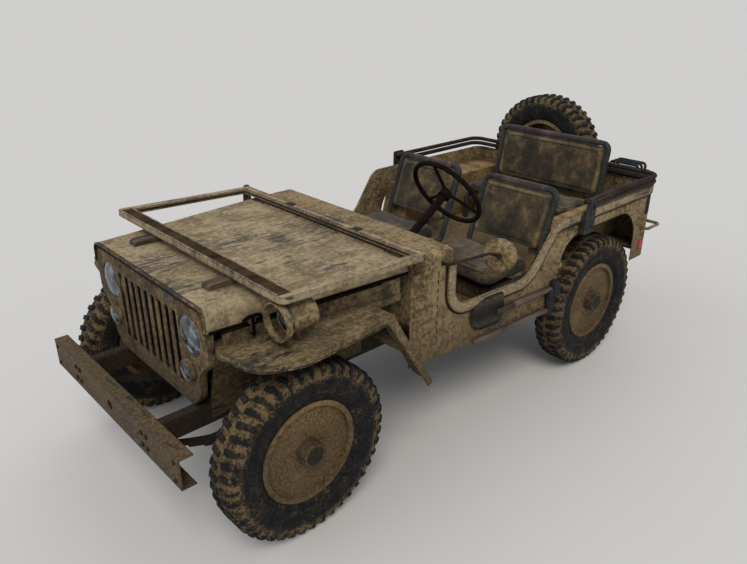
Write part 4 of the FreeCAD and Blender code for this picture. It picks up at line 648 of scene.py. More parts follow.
def ringPath(size, corner, z, count=8):
    # a closed line round a rectangle with round corners, at one height
    path = []
    for i, (sx, sy) in enumerate(((1, 1), (-1, 1), (-1, -1), (1, -1))):
        for k in range(count + 1):
            a = math.pi / 2 * (i + k / count)
            path.append(Vector((sx * (size[0] / 2 - corner) + corner * math.cos(a),
                                sy * (size[1] / 2 - corner) + corner * math.sin(a), z)))
    return path


def snapped(surface, path, lift=0.0):
    tree = BVHTree.FromBMesh(surface)
    found = []
    for point in path:
        spot, normal, index, gap = tree.find_nearest(point)
        found.append(spot + normal * lift)
    return found


def loopTube(path, radius, sides=2):
    return tube(list(path) + [path[0]], radius, sides, curved=False)


def stitches(surface, path, length=0.011, gap=0.007, radius=0.0013):
    # short threads along a line on a surface
    tree = BVHTree.FromBMesh(surface)
    runs, travelled, step = [], 0.0, length + gap
    for a, b in zip(path, path[1:]):
        span = (b - a).length
        while travelled < span:
            middle = a + (b - a) * (travelled / span)
            along = (b - a).normalized() * length / 2
            ends = [tree.find_nearest(middle + along * k) for k in (-1, 1)]
            runs.append(rod(*[spot + normal * radius * 0.3 for spot, normal, index, d in ends], radius, 6))
            travelled += step
        travelled -= span
    return gather(*runs)


def strip(surface, start, end, width, count=24):
    # a flat band of cloth sewn on a surface, from start to end
    tree = BVHTree.FromBMesh(surface)
    start, end = Vector(start), Vector(end)
    across = (end - start).normalized().cross(up) * width / 2
    bm = bmesh.new()
    bmesh.ops.create_grid(bm, x_segments=2, y_segments=count, size=1)
    for v in bm.verts:
        middle = start.lerp(end, (v.co.y + 1) / 2) + across * v.co.x
        spot, normal, index, gap = tree.find_nearest(middle)
        v.co = spot + normal * 0.0012
    bmesh.ops.solidify(bm, geom=bm.faces[:], thickness=0.0012)
    return bm


# voxel is the mesh's step, reach how far the cloth may move, crown and corner the radii of rims and corners,
# and shrink what the cloth takes up as it swells
pads = {
    "cushion": {"voxel": 0.0085, "reach": 0.02, "crown": 0.022, "corner": 0.045, "shrink": 0.012},
    "back": {"voxel": 0.0085, "reach": 0.016, "crown": 0.008, "corner": 0.025, "shrink": 0.001},
}


def makePad(name, kind, size, place, nodeName):
    # size is the pad's own: across, along and thick; its seams and bands are on its upper face
    look = pads[kind]
    inner = [s - 2 * look["shrink"] for s in size]
    surface = swell(rounded(inner, look["crown"], look["corner"]), look["voxel"], look["reach"])
    # the pad fills the room that its frame leaves
    low = [min(v.co[k] for v in surface.verts) for k in range(3)]
    high = [max(v.co[k] for v in surface.verts) for k in range(3)]
    for v in surface.verts:
        v.co = Vector([(c - (a + b) / 2) * s / (b - a) for c, a, b, s in zip(v.co, low, high, size)])
    band = (size[0] - 0.06, size[1] - 0.06)
    trims = []
    for reach, radius in ((0.0, 0.0034), (0.03, 0.0016)):
        path = ringPath((size[0] - 2 * look["shrink"] - 2 * reach, size[1] - 2 * look["shrink"] - 2 * reach),
                        look["corner"], size[2] / 2)
        trims.append(loopTube(snapped(surface, path, 0.0006), radius))
    row = ringPath(band, look["corner"], size[2] / 2)
    thread = stitches(surface, row + row[:1])
    bmesh.ops.subdivide_edges(surface, edges=surface.edges, cuts=1, use_grid_fill=True, smooth=1.0)
    if kind == "back":
        # a band along the top and one down each side
        wide, tall, face = [s / 2 for s in size]
        strips = [strip(surface, (-wide + 0.012, tall - 0.02, face), (wide - 0.012, tall - 0.02, face), 0.02)]
        for x in (wide - 0.022, 0.022 - wide):
            strips.append(strip(surface, (x, 0.015 - tall, face), (x, tall - 0.034, face), 0.026))
        piece(name + "_bands", moved(gather(*strips), place), "bandCanvas", "chassis", smooth=60)
    soft = piece(name, moved(surface, place), "seatCanvas", "chassis", [nodeName], smooth=80)
    piece(name + "_piping", moved(gather(*trims), place), "strapWebbing", "chassis")
    piece(name + "_stitches", moved(thread, place), "threadCotton", "chassis")
    print(name, "done")


# foot and top of a back's frame, where its pad starts above the foot, then the room of the cushion
seats = {"y": 0.332, "half": 0.234, "tube": 0.016, "back": 0.032, "foot": (-1.585, 0.648),
         "top": (-1.735, 1.062), "start": 0.12, "front": -1.195, "rear": -1.548, "low": 0.6643, "high": 0.752,
         "sleeve": (0.062, 0.0018)}
bench = {"half": 0.392, "foot": (-2.455, 0.752), "top": (-2.520, 1.160), "start": 0.1, "front": -2.130,
         "rear": -2.415, "low": 0.7683, "high": 0.840}


def backPlace(seat, y, start, end):
    # the back's own frame: its width across the car, its height up the uprights, its face forward
    low = onCar(seat["foot"][0], y, seat["foot"][1])
    along = Vector((seat["top"][0] - seat["foot"][0], 0, seat["top"][1] - seat["foot"][1])).normalized()
    face = Vector((along.z, 0, -along.x))
    turn = Matrix((Vector((0, -1, 0)), along, face)).transposed()
    return Matrix.Translation(low + along * (start + end) / 2) @ turn.to_4x4()


def makeSeat(name, seat, y, nodeName):
    half, start = seat["half"], seat["start"]
    depth, thick = seat["front"] - seat["rear"], seat["high"] - seat["low"]
    middle = Matrix.Translation((at((seat["front"] + seat["rear"]) / 2), y, (seat["high"] + seat["low"]) / 2))
    makePad(name + "_cushion", "cushion", (depth, 2 * half, thick), middle, nodeName)
    (x0, z0), (x1, z1) = seat["foot"], seat["top"]
    reach = math.hypot(x1 - x0, z1 - z0) - seats["tube"] - 0.0003
    inner = half - seats["tube"] - 0.0006
    size = (2 * inner, reach - start, seats["back"])
    makePad(name + "_back", "back", size, backPlace(seat, y, start, reach), nodeName)
    inset, cloth = seats["sleeve"]
    top, reachOut = onCar(x1, y, z1), Vector((0, half - inset, 0))
    sleeve = rod(top - reachOut, top + reachOut, seats["tube"] + cloth, 24)
    piece(name + "_sleeve", sleeve, "sleeveCanvas", "chassis", bevel=0.0012, smooth=60)


def makeSeats():
    for name, side in (("left", 1), ("right", -1)):
        makeSeat("seat_" + name, seats, side * seats["y"], "seat_pads")
    makeSeat("bench", bench, 0, "bench_pads")


makeSeats()


# Lamps: glass, reflectors and rims

# marker: way out, height and radius; drive and tail: place along the car, then the same
lamp = {"side": 0.345, "height": 0.87, "radius": 0.085, "face": 0.2825, "recess": 0.006, "bar": 0.003,
        "marker": (0.322, 0.715, 0.045), "markerProud": 0.0185, "screws": (0.5, 2.6, 4.7),
        "drive": (0.0352, 0.62, 0.958, 0.058), "tail": (-2.6405, 0.57, 0.56, 0.03),
        "shroud": (0.2148, 0.265, 0.585, 0.962), "shroudThick": 0.0042}


def dome(place, axis, radius, depth, segments=32, rings=6):
    # a shallow bulged disc, closed at the back: a lens, a reflector or a mirror's shell
    bm = bmesh.new()
    profile = [bm.verts.new((radius * math.cos(a), 0, depth * math.sin(a)))
               for a in [math.pi / 2 * i / rings for i in range(rings + 1)]]
    edges = [bm.edges.new(pair) for pair in zip(profile, profile[1:])]
    bmesh.ops.spin(bm, geom=profile + edges, cent=(0, 0, 0), axis=(0, 0, 1), angle=math.tau, steps=segments,
                   use_merge=True, use_duplicate=False)
    bmesh.ops.remove_doubles(bm, verts=bm.verts, dist=1e-5)
    hole = [e for e in bm.edges if e.is_boundary]
    bmesh.ops.contextual_create(bm, geom=hole)
    turn = up.rotation_difference(Vector(axis)).to_matrix().to_4x4()
    return moved(bm, Matrix.Translation(place) @ turn)


def hoop(place, axis, radius, thick, segments=40, sides=8):
    # a round bar bent into a ring
    bm = bmesh.new()
    bmesh.ops.create_circle(bm, segments=sides, radius=thick,
                            matrix=Matrix.Translation((radius, 0, 0)) @ Matrix.Rotation(math.pi / 2, 4, "X"))
    bmesh.ops.spin(bm, geom=bm.verts[:] + bm.edges[:], cent=(0, 0, 0), axis=(0, 0, 1), angle=math.tau,
                   steps=segments, use_merge=True, use_duplicate=False)
    bmesh.ops.remove_doubles(bm, verts=bm.verts, dist=1e-5)
    turn = up.rotation_difference(Vector(axis)).to_matrix().to_4x4()
    return moved(bm, Matrix.Translation(place) @ turn)


def makeLamps():
    # a dark plate on the radiator, so that the slots look into shade
    x, half, low, high = lamp["shroud"]
    shroud = box(onCar(x, -half, low), onCar(x + lamp["shroudThick"], half, high))
    piece("grille_shroud", shroud, "blackAndPaintedShade")
    rims, glass, mirrors, bar = [], [], [], lamp["bar"]
    for side in (1, -1):
        spot, r = onCar(lamp["face"] - lamp["recess"], side * lamp["side"], lamp["height"]), lamp["radius"]
        glass.append(dome(spot, forward, r - 0.004, 0.012))
        mirrors.append(dome(spot - forward * 0.001, backward, r - 0.012, 0.03))
        rims.append(hoop(spot + forward * 0.0035, forward, r - bar, bar))
        y, z, r = lamp["marker"]
        spot = onCar(lamp["face"] + lamp["markerProud"], side * y, z)
        glass.append(dome(spot, forward, r - 0.006, 0.01))
        rims.append(hoop(spot, forward, r - bar, bar))
        for a in lamp["screws"]:
            edge = (r - 0.002) * Vector((0, math.cos(a), math.sin(a)))
            rims.append(bolt(spot + edge, forward, 0.0025, 0.004))
    x, y, z, r = lamp["drive"]
    glass.append(dome(onCar(x, y, z), forward, r - 0.005, 0.009))
    rims.append(hoop(onCar(x, y, z), forward, r - 0.002, bar))
    x, y, z, r = lamp["tail"]
    tails = [dome(onCar(x, side * y, z), backward, r - 0.004, 0.006) for side in (1, -1)]
    for name, parts, material in (("lamp_rims", rims, "bodyPaint"), ("lamp_glass", glass, "lampGlass"),
                                  ("lamp_reflectors", mirrors, "reflectorSteel"),
                                  ("tail_glass", tails, "redLens")):
        piece(name, gather(*parts), material, smooth=50)
    print("lamps done")


makeLamps()


# The body's seams, rivets, plates and bolts

def roundedLine(points, steps=8):
    # a line through corners of (x, z, radius), as points
    line = []
    for i, corner in enumerate(points):
        here = Vector(corner[:2])
        radius = corner[2] if len(corner) > 2 else 0
        if not radius or i in (0, len(points) - 1):
            line.append(here)
            continue
        back = (Vector(points[i - 1][:2]) - here).normalized()
        ahead = (Vector(points[i + 1][:2]) - here).normalized()
        half = back.angle(ahead) / 2
        centre = here + (back + ahead).normalized() * (radius / math.sin(half))
        enter, leave = here + back * (radius / math.tan(half)), here + ahead * (radius / math.tan(half))
        sweep = (enter - centre).angle_signed(leave - centre)
        for k in range(steps + 1):
            turn = Matrix.Rotation(-sweep * k / steps, 2)
            line.append(centre + turn @ (enter - centre))
    return line


body = {"front": -0.607, "taper": -1.6, "halfFront": 0.6135, "half": 0.675, "rail": 0.963,
        "doorFront": -0.872, "sill": 0.712, "slopeX": -1.385, "slope": math.radians(53), "proud": 0.008,
        "band": 0.05, "seam": 0.0052, "joint": (-0.77, 0.9, 0.04, 9), "plate": ((-2.56, 0.79), (-2.522, 0.9)),
        "lens": ((-2.548, 0.575), (-2.505, 0.632))}
# each row: place along the car and its step, height and its step, and how many
rivetRows = [(-0.64, -0.155, 0.505, 0, 6), (-2.47, 0, 0.56, 0.06, 5), (-1.63, -0.16, 0.893, 0, 6),
             (-0.63, 0, 0.56, 0.06, 7)]


def sideAt(x):
    # how far out the body's side is, at a place along it
    share = max(0.0, min(1.0, (body["front"] - x) / (body["front"] - body["taper"])))
    return body["halfFront"] + (body["half"] - body["halfFront"]) * share


def rimLine(inset, start, end):
    slopeTop = body["slopeX"] - (body["rail"] - body["sill"]) / math.tan(body["slope"])
    shift = inset * math.tan(body["slope"] / 2)
    door = body["doorFront"] + inset
    points = [(door, start), (door, body["sill"] - inset, 0.08 + inset),
              (body["slopeX"] - shift, body["sill"] - inset, 0.14 + inset),
              (slopeTop - shift, body["rail"] - inset, 0.11 - inset), (end, body["rail"] - inset)]
    return roundedLine(points)


def makeSeams():
    seams, rolls, rivets = [], [], []
    for side in (1, -1):
        # a dark line under the rim band: painted shade
        line = rimLine(body["band"] + 0.0045, 0.93, -2.55)
        seams.append(bent([onCar(x, side * (sideAt(x) + 0.002), z) for x, z in line], body["seam"], 2))
        edge = rimLine(body["band"] / 2, 0.93, -2.555)
        path = [onCar(x, side * (sideAt(x) + body["proud"]), z) for x, z in edge]
        roll = bent(path, body["band"] / 2 - 0.0015, 5)
        for v in roll.verts:
            # the round bar is pressed to a shallow swell on the band
            level = sideAt(v.co.x - frontAxle) + body["proud"]
            v.co.y = side * (level + (abs(v.co.y) - level) * 0.2)
        rolls.append(roll)
        # short dashes down the joint of cowl and tub
        x, top, step, count = body["joint"]
        for i in range(count):
            middle = onCar(x, side * sideAt(x), top - step * i)
            half = Vector((0.0025, 0.001, 0.011))
            seams.append(box(middle - half, middle + half))
        for x, stepX, z, stepZ, count in rivetRows:
            for i in range(count):
                place = x + stepX * i
                rivets.append(rivet(place, side * (sideAt(place) + 0.0002), z + stepZ * i))
    piece("body_seams", gather(*seams), "seamDirtAndShade")
    # the band takes the hood's lighter paint: a painted highlight along the rolled rim
    piece("rolled_edge", gather(*rolls), "hoodPaint", smooth=60)
    piece("body_rivets", gather(*rivets), "bodyPaint", smooth=50)
    half = body["half"]
    (rear, low), (front, high) = body["plate"]
    plate = box(onCar(rear, half - 0.001, low), onCar(front, half + 0.0035, high))
    piece("blackout_plate", plate, "canPaint", bevel=0.002)
    (rear, low), (front, high) = body["lens"]
    lenses = [box(onCar(rear, side * half - 0.002, low), onCar(front, side * half + 0.006, high))
              for side in (1, -1)]
    piece("side_reflectors", gather(*lenses), "redLens", bevel=0.003)
    print("seams done")


gauges = {"face": -0.8601, "height": 0.9, "big": (0.0, 0.04), "small": (-0.16, -0.095, 0.095, 0.16),
          "radius": 0.026,
          "knobs": ((0.235, 0.905), (0.275, 0.905), (-0.235, 0.905), (0.235, 0.875), (-0.235, 0.875))}


def makeGauges():
    rims, faces, needles = [], [], []
    dials = [(gauges["big"][0], gauges["big"][1])] + [(y, gauges["radius"]) for y in gauges["small"]]
    for y, r in dials:
        spot = onCar(gauges["face"], y, gauges["height"])
        rims.append(hoop(spot - forward * 0.002, backward, r, 0.0028))
        faces.append(rod(spot + forward * 0.001, spot - forward * 0.0015, r, 32))
        tip = Vector((0, math.sin(2.2 + y * 9), math.cos(2.2 + y * 9))) * r * 0.75
        needles.append(rod(spot - forward * 0.0022, spot - forward * 0.0022 + tip, 0.0008, 6))
        marks = [(spot + Vector((-0.0018, r * k * math.sin(a), r * k * math.cos(a))) for k in (0.78, 0.92))
                 for a in [math.radians(-120 + 30 * i) for i in range(9)]]
        needles += [rod(*pair, 0.0007, 4) for pair in marks]
    for y, z in gauges["knobs"]:
        spot = onCar(gauges["face"], y, z)
        rims.append(rod(spot, spot - forward * 0.004, 0.011, 6))
        rims.append(rod(spot, spot - forward * 0.02, 0.006, 12, 0.005))
    piece("gauge_rims", gather(*rims), "framePaint", smooth=50)
    piece("gauge_faces", gather(*faces), "gaugeFace")
    piece("gauge_needles", gather(*needles), "chalkPaint")
    print("gauges done")


makeSeams()
makeGauges()


# Windshield: lips and a dark channel on the front bar, glazing bead, knobs at the hinges

screen = {"pivot": (-0.64, 1.028), "tip": (0.088, 1.057), "half": 0.672, "reach": 0.728, "bar": 0.068,
          "side": 0.04, "thick": 0.026, "bead": 0.0045, "knob": (0.013, 0.011), "clip": (0.036, 0.02, 0.006),
          "bolts": ((-0.014, 0.93), (0.014, 0.93), (0, 0.975))}


def closedLine(corners, steps=6):
    # a closed line with every corner round
    path = roundedLine([corners[-1]] + list(corners) + [corners[0]], steps)
    return path[1:-1]


def makeScreen():
    (x, z), (tipX, tipZ) = screen["pivot"], screen["tip"]
    place = Matrix.Translation((at(x), 0, z)) @ Matrix.Rotation(-math.atan2(tipZ - z, tipX - x), 4, "Y")
    top, near, far = screen["thick"] / 2, screen["reach"] - screen["bar"], screen["reach"]
    inner = screen["half"] - 0.03
    lips = []
    for wide, proud, edges in ((0.007, 0.004, (near + 0.002, far - 0.009)), (0.005, 0.0025, (-0.004, 0.033))):
        lips += [box((u, -inner, top - 0.001), (u + wide, inner, top + proud)) for u in edges]
    piece("screen_lips", moved(gather(*lips), place), "hoodPaint", "windshield", bevel=0.0015)
    trough = box((near + 0.009, -inner, top - 0.001), (far - 0.009, inner, top + 0.0012))
    piece("screen_channel", moved(trough, place), "channelBrown", "windshield")
    hole = screen["half"] - screen["side"]
    corners = [(0.04, -hole, 0.02), (near, -hole, 0.02), (near, hole, 0.02), (0.04, hole, 0.02)]
    bead = loopTube([Vector((u, y, 0)) for u, y in closedLine(corners)], screen["bead"])
    piece("glazing_bead", moved(bead, place), "bowPaint", "windshield", smooth=60)
    knobs = []
    for side in (1, -1):
        y, out = side * (screen["half"] + 0.012), (0, side, 0)
        wide, narrow = screen["knob"]
        knobs.append(rod(onCar(x, y - side * 0.001, z), onCar(x, y + side * 0.012, z), wide, 6, narrow))
        knobs += [bolt(onCar(x + shift, y, height), out, 0.006, 0.005) for shift, height in screen["bolts"]]
    piece("hinge_bolts", gather(*knobs), "bodyPaint", bevel=0.001)
    long, half, thick = screen["clip"]
    for name, y in (("right", -0.25), ("left", 0.25)):
        clip = box((0.0, y - half, top), (long, y + half, top + thick))
        piece("screen_clip_" + name, moved(clip, place), "canPaint", "windshield", bevel=0.002)
    print("windshield done")


makeScreen()


# Hood: rolled front edge, black lines of painted shade along its side seams, toggle catches

hood = {"front": 0.2825, "rear": -0.597, "half": (0.475, 0.605), "top": (1.016, 1.002), "low": (0.922, 0.946),
        "round": 0.04, "roll": 0.0055, "hem": 0.0052, "strip": 0.0032,
        "nails": (0.21, 0.0, -0.21, -0.42), "nailZ": 0.892}
toggle = {"x": 0.112, "line": [(-0.04, 0.012, 0.944), (-0.028, 0.0155, 0.956), (0, 0.017, 0.959),
                               (0.028, 0.0155, 0.956), (0.04, 0.012, 0.944)],
          "bar": 0.0072, "stem": (0.0065, 0.962, 0.884), "foot": (0.0095, 0.886)}


def hoodAt(x, pair):
    share = (hood["front"] - x) / (hood["front"] - hood["rear"])
    return hood[pair][0] + (hood[pair][1] - hood[pair][0]) * share


def makeHood():
    half, high, low = hood["half"][0] - 0.001, hood["top"][0] - 0.002, hood["low"][0] + 0.004
    arch = roundedLine([(-half, low), (-half, high, hood["round"]), (half, high, hood["round"]), (half, low)])
    front = hood["front"]
    edge = bent([onCar(front + 0.002, y, z) for y, z in arch], hood["roll"])
    piece("hood_front_roll", edge, "edgePaint", "hood", smooth=60)
    # dark lines in the creases under and behind the rolled edge: painted shade
    dirtAndShade = [bent([onCar(front + 0.0062, y * 0.992, z - 0.0062) for y, z in arch], 0.0022, 2),
            bent([onCar(front - 0.0065, y, z + 0.0022) for y, z in arch], 0.0018, 2)]
    piece("hood_roll_shade", gather(*dirtAndShade), "seamDirtAndShade", "hood")
    run = [0.272 - 0.0217 * i for i in range(41)]
    hems, strips, toggles, nails = [], [], [], []
    for side in (1, -1):
        # black lines along the hood's lower edge and just under it: painted shade of the gap
        hem = [onCar(x, side * (hoodAt(x, "half") + 0.0008), hoodAt(x, "low") + 0.0035) for x in run[::4]]
        hems.append(bent(hem, hood["hem"], 2))
        line = [onCar(x, side * (hoodAt(x, "half") + 0.0004), hoodAt(x, "low") - 0.0115) for x in run[2:38:4]]
        strips.append(bent(line, hood["strip"], 2))
        # a bent handle, its stem and its foot
        x, out = toggle["x"], hoodAt(0.098, "half") + 0.0003
        handle = [onCar(x + shift, side * (out + y), z) for shift, y, z in toggle["line"]]
        toggles.append(tube(handle, toggle["bar"], 3))
        radius, high, low = toggle["stem"]
        y = side * (out + 0.0155)
        toggles.append(rod(onCar(x, y, high), onCar(x, y, low), radius, 12))
        radius, z = toggle["foot"]
        toggles.append(rod(onCar(x, side * (out + 0.008), z), onCar(x, side * (out + 0.017), z), radius, 12))
        nails += [rivet(x, side * (hoodAt(x, "half") - 0.0004), hood["nailZ"]) for x in hood["nails"]]
    piece("hood_hems", gather(*hems), "blackAndPaintedShade", "hood")
    piece("fender_strips", gather(*strips), "blackAndPaintedShade")
    piece("hood_toggles", gather(*toggles), "blackAndPaintedShade", "hood", smooth=60)
    piece("fender_nails", gather(*nails), "fenderPaint", smooth=50)
    print("hood done")


makeHood()


# Fenders: wired edges, creases on the legs, painted shade where they meet the body

wing = {"top": 0.864, "lip": 0.03, "plan": [(0.233, 0.43), (0.263, 0.5, 0.03), (0.225, 0.708, 0.12),
                                            (0.06, 0.768, 0.1), (-0.4, 0.73)],
        "leg": ((-0.4, 0.8625), (-0.638, 0.4605)), "creases": (0.64, 0.708), "foot": 0.6185, "wire": 0.004,
        "crease": 0.0042, "end": (-0.398, 0.73, 0.62)}


def makeFenders():
    wires, creases, dirtAndShade = [], [], []
    (x0, z0), (x1, z1) = wing["leg"]
    plan, low = roundedLine(wing["plan"]), wing["top"] - wing["lip"] + 0.003
    endX, outer, inner = wing["end"]
    for side in (1, -1):
        wires.append(bent([onCar(x, side * (y + 0.001), low) for x, y in plan], wing["wire"]))
        for y in wing["creases"]:
            creases.append(rod(onCar(x0, side * y, z0), onCar(x1, side * y, z1), wing["crease"], 12))
        # dark lines where the leg and the fender's end meet the body: painted shade
        y = side * wing["foot"]
        dirtAndShade.append(rod(onCar(x0 - 0.004, y, z0), onCar(x1, y, z1), 0.003, 8))
        dirtAndShade.append(rod(onCar(endX, side * outer, wing["top"] - 0.028),
                        onCar(endX, side * inner, wing["top"] - 0.0004), 0.001, 6))
    piece("fender_wires", gather(*wires), "edgePaint", smooth=60)
    piece("leg_creases", gather(*creases), "fenderPaint", smooth=60)
    piece("leg_joint_shade", gather(*dirtAndShade), "seamDirtAndShade")
    print("fenders done")


makeFenders()


# Shovel and axe on the left side, in place of their plain solids

tools = {"x": -0.98, "lean": -math.atan(0.0615 / 0.993), "proud": 0.0083, "shaftZ": 0.6, "hang": 0.0143,
         "blade": (0.222, 0.165, 0.0065), "bladeAt": (-0.111, 0.6175),
         "socket": (-0.17, -0.3, 0.0135, 0.0165), "shaft": (-0.29, -0.585, -0.605), "shaftOut": 0.0153,
         "head": (0.08, 0.027, 0.094),
         "headAt": (-0.6, 0.525), "clamps": (((-0.655, 0.001, 0.56), (-0.565, 0.033, 0.602)),
                                            ((-0.64, 0.001, 0.575), (-0.6, 0.036, 0.64))),
         "haft": [(-0.022, 0.484), (-0.06, 0.481), (-0.2, 0.4835), (-0.4, 0.481), (-0.59, 0.482)]}


def spade(length, height, bulge):
    # a pressed blade: square shoulders, a round point, hollow at the back
    bm = bmesh.new()
    bmesh.ops.create_grid(bm, x_segments=14, y_segments=10, size=1)
    for v in bm.verts:
        u, w = v.co.x, v.co.y
        taper = 1.0 if u < 0.1 else max(0.0, 1 - ((u - 0.1) / 0.9) ** 2.4) ** 0.5 * 0.92 + 0.08
        shoulder = 1.0 if u > -0.86 else 0.9
        out = bulge * (1 - w * w) * (1 - 0.35 * u)
        v.co = Vector((u * length / 2, out, w * taper * shoulder * height / 2))
    bmesh.ops.solidify(bm, geom=bm.faces[:], thickness=0.0022)
    return bm


def makeTools():
    place = Matrix.Translation(onCar(tools["x"], sideAt(tools["x"]), 0))
    place = place @ Matrix.Rotation(tools["lean"], 4, "Z")
    out, z, hang = tools["proud"], tools["shaftZ"], tools["hang"]
    bladeX, bladeZ = tools["bladeAt"]
    blade = moved(spade(*tools["blade"]), Matrix.Translation((bladeX, out + 0.0035, bladeZ)))
    near, far, narrow, wide = tools["socket"]
    socket = rod((near, out + 0.009, z), (far, out + 0.0072, z), narrow, 20, wide)
    headX, headZ = tools["headAt"]
    head = bmesh.new()
    size = Matrix.Diagonal((*tools["head"], 1))
    bmesh.ops.create_cube(head, size=1, matrix=Matrix.Translation((headX, hang, headZ)) @ size)
    bmesh.ops.subdivide_edges(head, edges=head.edges, cuts=3, use_grid_fill=True)
    tall = tools["head"][2]
    for v in head.verts:
        # thin and flared at the bit, narrow and thick at the poll
        share = max(0.0, min(1.0, (v.co.z - headZ) / tall + 0.5))
        v.co.x = headX + (v.co.x - headX) * (0.62 + 0.38 * share ** 2)
        v.co.y = hang + (v.co.y - hang) * (1 - 0.86 * share ** 1.3)
    clamp = [box(*corners) for corners in tools["clamps"]]
    start, end, tip = tools["shaft"]
    y = tools["shaftOut"]
    shaft = rod((start, y, z), (end, y, z), 0.0145, 24, 0.0135)
    grip = rod((end, y, z), (tip, y, z), 0.0135, 24, 0.009)
    haft = tube([(x, hang, low) for x, low in tools["haft"]], 0.013, 5)
    for name, parts, material, bevel, smooth in (
            ("shovel_blade", (blade, socket), "bladePaint", 0.0006, 50),
            ("tool_steel", (head, *clamp), "canPaint", 0.0015, 50),
            ("tool_wood", (shaft, grip, haft), "ashWood", 0.0, 60)):
        piece(name, moved(gather(*parts), place), material, replaced=["hand_tools"],
              bevel=bevel, smooth=smooth)
    print("tools done")


makeTools()


# Mirror and bumper bolts

mirror = {"place": (-1.109, 0.692, 0.917), "normal": (0.9, 0.4, 0.05), "radius": 0.075, "rim": 0.0048,
          "bulge": 0.011, "boss": (0.018, 0.033, 0.014, 0.01)}


def makeMirror():
    spot, axis, radius = onCar(*mirror["place"]), Vector(mirror["normal"]).normalized(), mirror["radius"]
    shell = dome(spot + axis * 0.0095, axis, radius + 0.001, mirror["bulge"])
    rim = hoop(spot + axis * 0.006, axis, radius + 0.0005, mirror["rim"])
    piece("mirror_shell", gather(shell, rim), "bodyPaint", smooth=60)
    piece("mirror_glass", rod(spot, spot - axis * 0.0012, radius - 0.004, 40), "mirrorSilver")
    start, end, wide, narrow = mirror["boss"]
    boss = rod(spot + axis * start, spot + axis * end, wide, 20, narrow)
    piece("mirror_boss", boss, "bowPaint", bevel=0.001)
    print("mirror done")


# each row: place along the car, sides, heights, way out, radius and height of the head
bumperBolts = [(0.4981, (0.3, 0.34), (0.465, 0.52), forward, 0.011, 0.008),
               (0.4981, (0.555,), (0.45, 0.53), forward, 0.009, 0.007),
               (-2.6505, (0.25, 0.33, 0.41), (0.52,), backward, 0.009, 0.006)]


def makeBumpers():
    heads = [bolt(onCar(x, side * y, z), out, radius, height) for side in (1, -1)
             for x, places, heights, out, radius, height in bumperBolts for y in places for z in heights]
    piece("bumper_bolts", gather(*heads), "framePaint", bevel=0.001)
    print("bumpers done")


makeMirror()
makeBumpers()


# Springs: U-bolts over the axles, clips round the leaves and eye bolts at the ends

# loop is a U-bolt's half width, top and corner; clip its place, half length, half width, foot and top
springs = {"y": 0.32, "axles": (0.0, -2.032), "under": 0.3035, "loop": (0.045, 0.427, 0.044), "bar": 0.0062,
           "apart": 0.0285, "nut": 0.011, "plate": (0.065, 0.042), "eye": (0.4, 0.442), "eyeHalf": 0.034,
           "clip": (0.2, 0.014, 0.0245, 0.332, 0.369)}


def makeSprings():
    parts = []
    half, top, corner = springs["loop"]
    foot = springs["under"] - 0.02
    loop = roundedLine([(-half, foot), (-half, top, corner), (half, top, corner), (half, foot)])
    long, wide = springs["plate"]
    reach, eyeZ = springs["eye"]
    clipX, clipLong, clipHalf, clipLow, clipHigh = springs["clip"]
    for x in springs["axles"]:
        for y in (springs["y"], -springs["y"]):
            for out in (y - springs["apart"], y + springs["apart"]):
                parts.append(bent([onCar(x + u, out, z) for u, z in loop], springs["bar"]))
                for u in (-half, half):
                    low, high = onCar(x + u, out, foot + 0.001), onCar(x + u, out, foot + 0.012)
                    parts.append(rod(low, high, springs["nut"], 6))
            parts.append(box(onCar(x - long, y - wide, springs["under"] - 0.009),
                             onCar(x + long, y + wide, springs["under"] - 0.0005)))
            for end in (1, -1):
                eye, across = onCar(x + end * reach, y, eyeZ), Vector((0, springs["eyeHalf"], 0))
                parts.append(rod(eye - across, eye + across, 0.009, 16))
                parts += [rod(eye + across * side, eye + (across + Vector((0, 0.008, 0))) * side, 0.014, 6)
                          for side in (1, -1)]
                middle = x + end * clipX
                parts.append(box(onCar(middle - clipLong, y - clipHalf, clipLow),
                                 onCar(middle + clipLong, y + clipHalf, clipHigh)))
    piece("spring_hardware", gather(*parts), "framePaint", bevel=0.001, smooth=50)
    print("springs done")


makeSprings()


# Fuel can: seam, pressed cross, strap; carrier nuts; knobs and pedal rubbers

can = {"x": (-2.6229, -2.7729), "y": (0.2175, 0.5625), "z": (0.61, 0.99), "seam": 0.003, "rib": 0.0045,
       "cross": (0.05, 0.06, 0.1), "strap": (0.8, 0.03, 0.0016), "buckle": ((0.37, 0.795), (0.41, 0.835))}


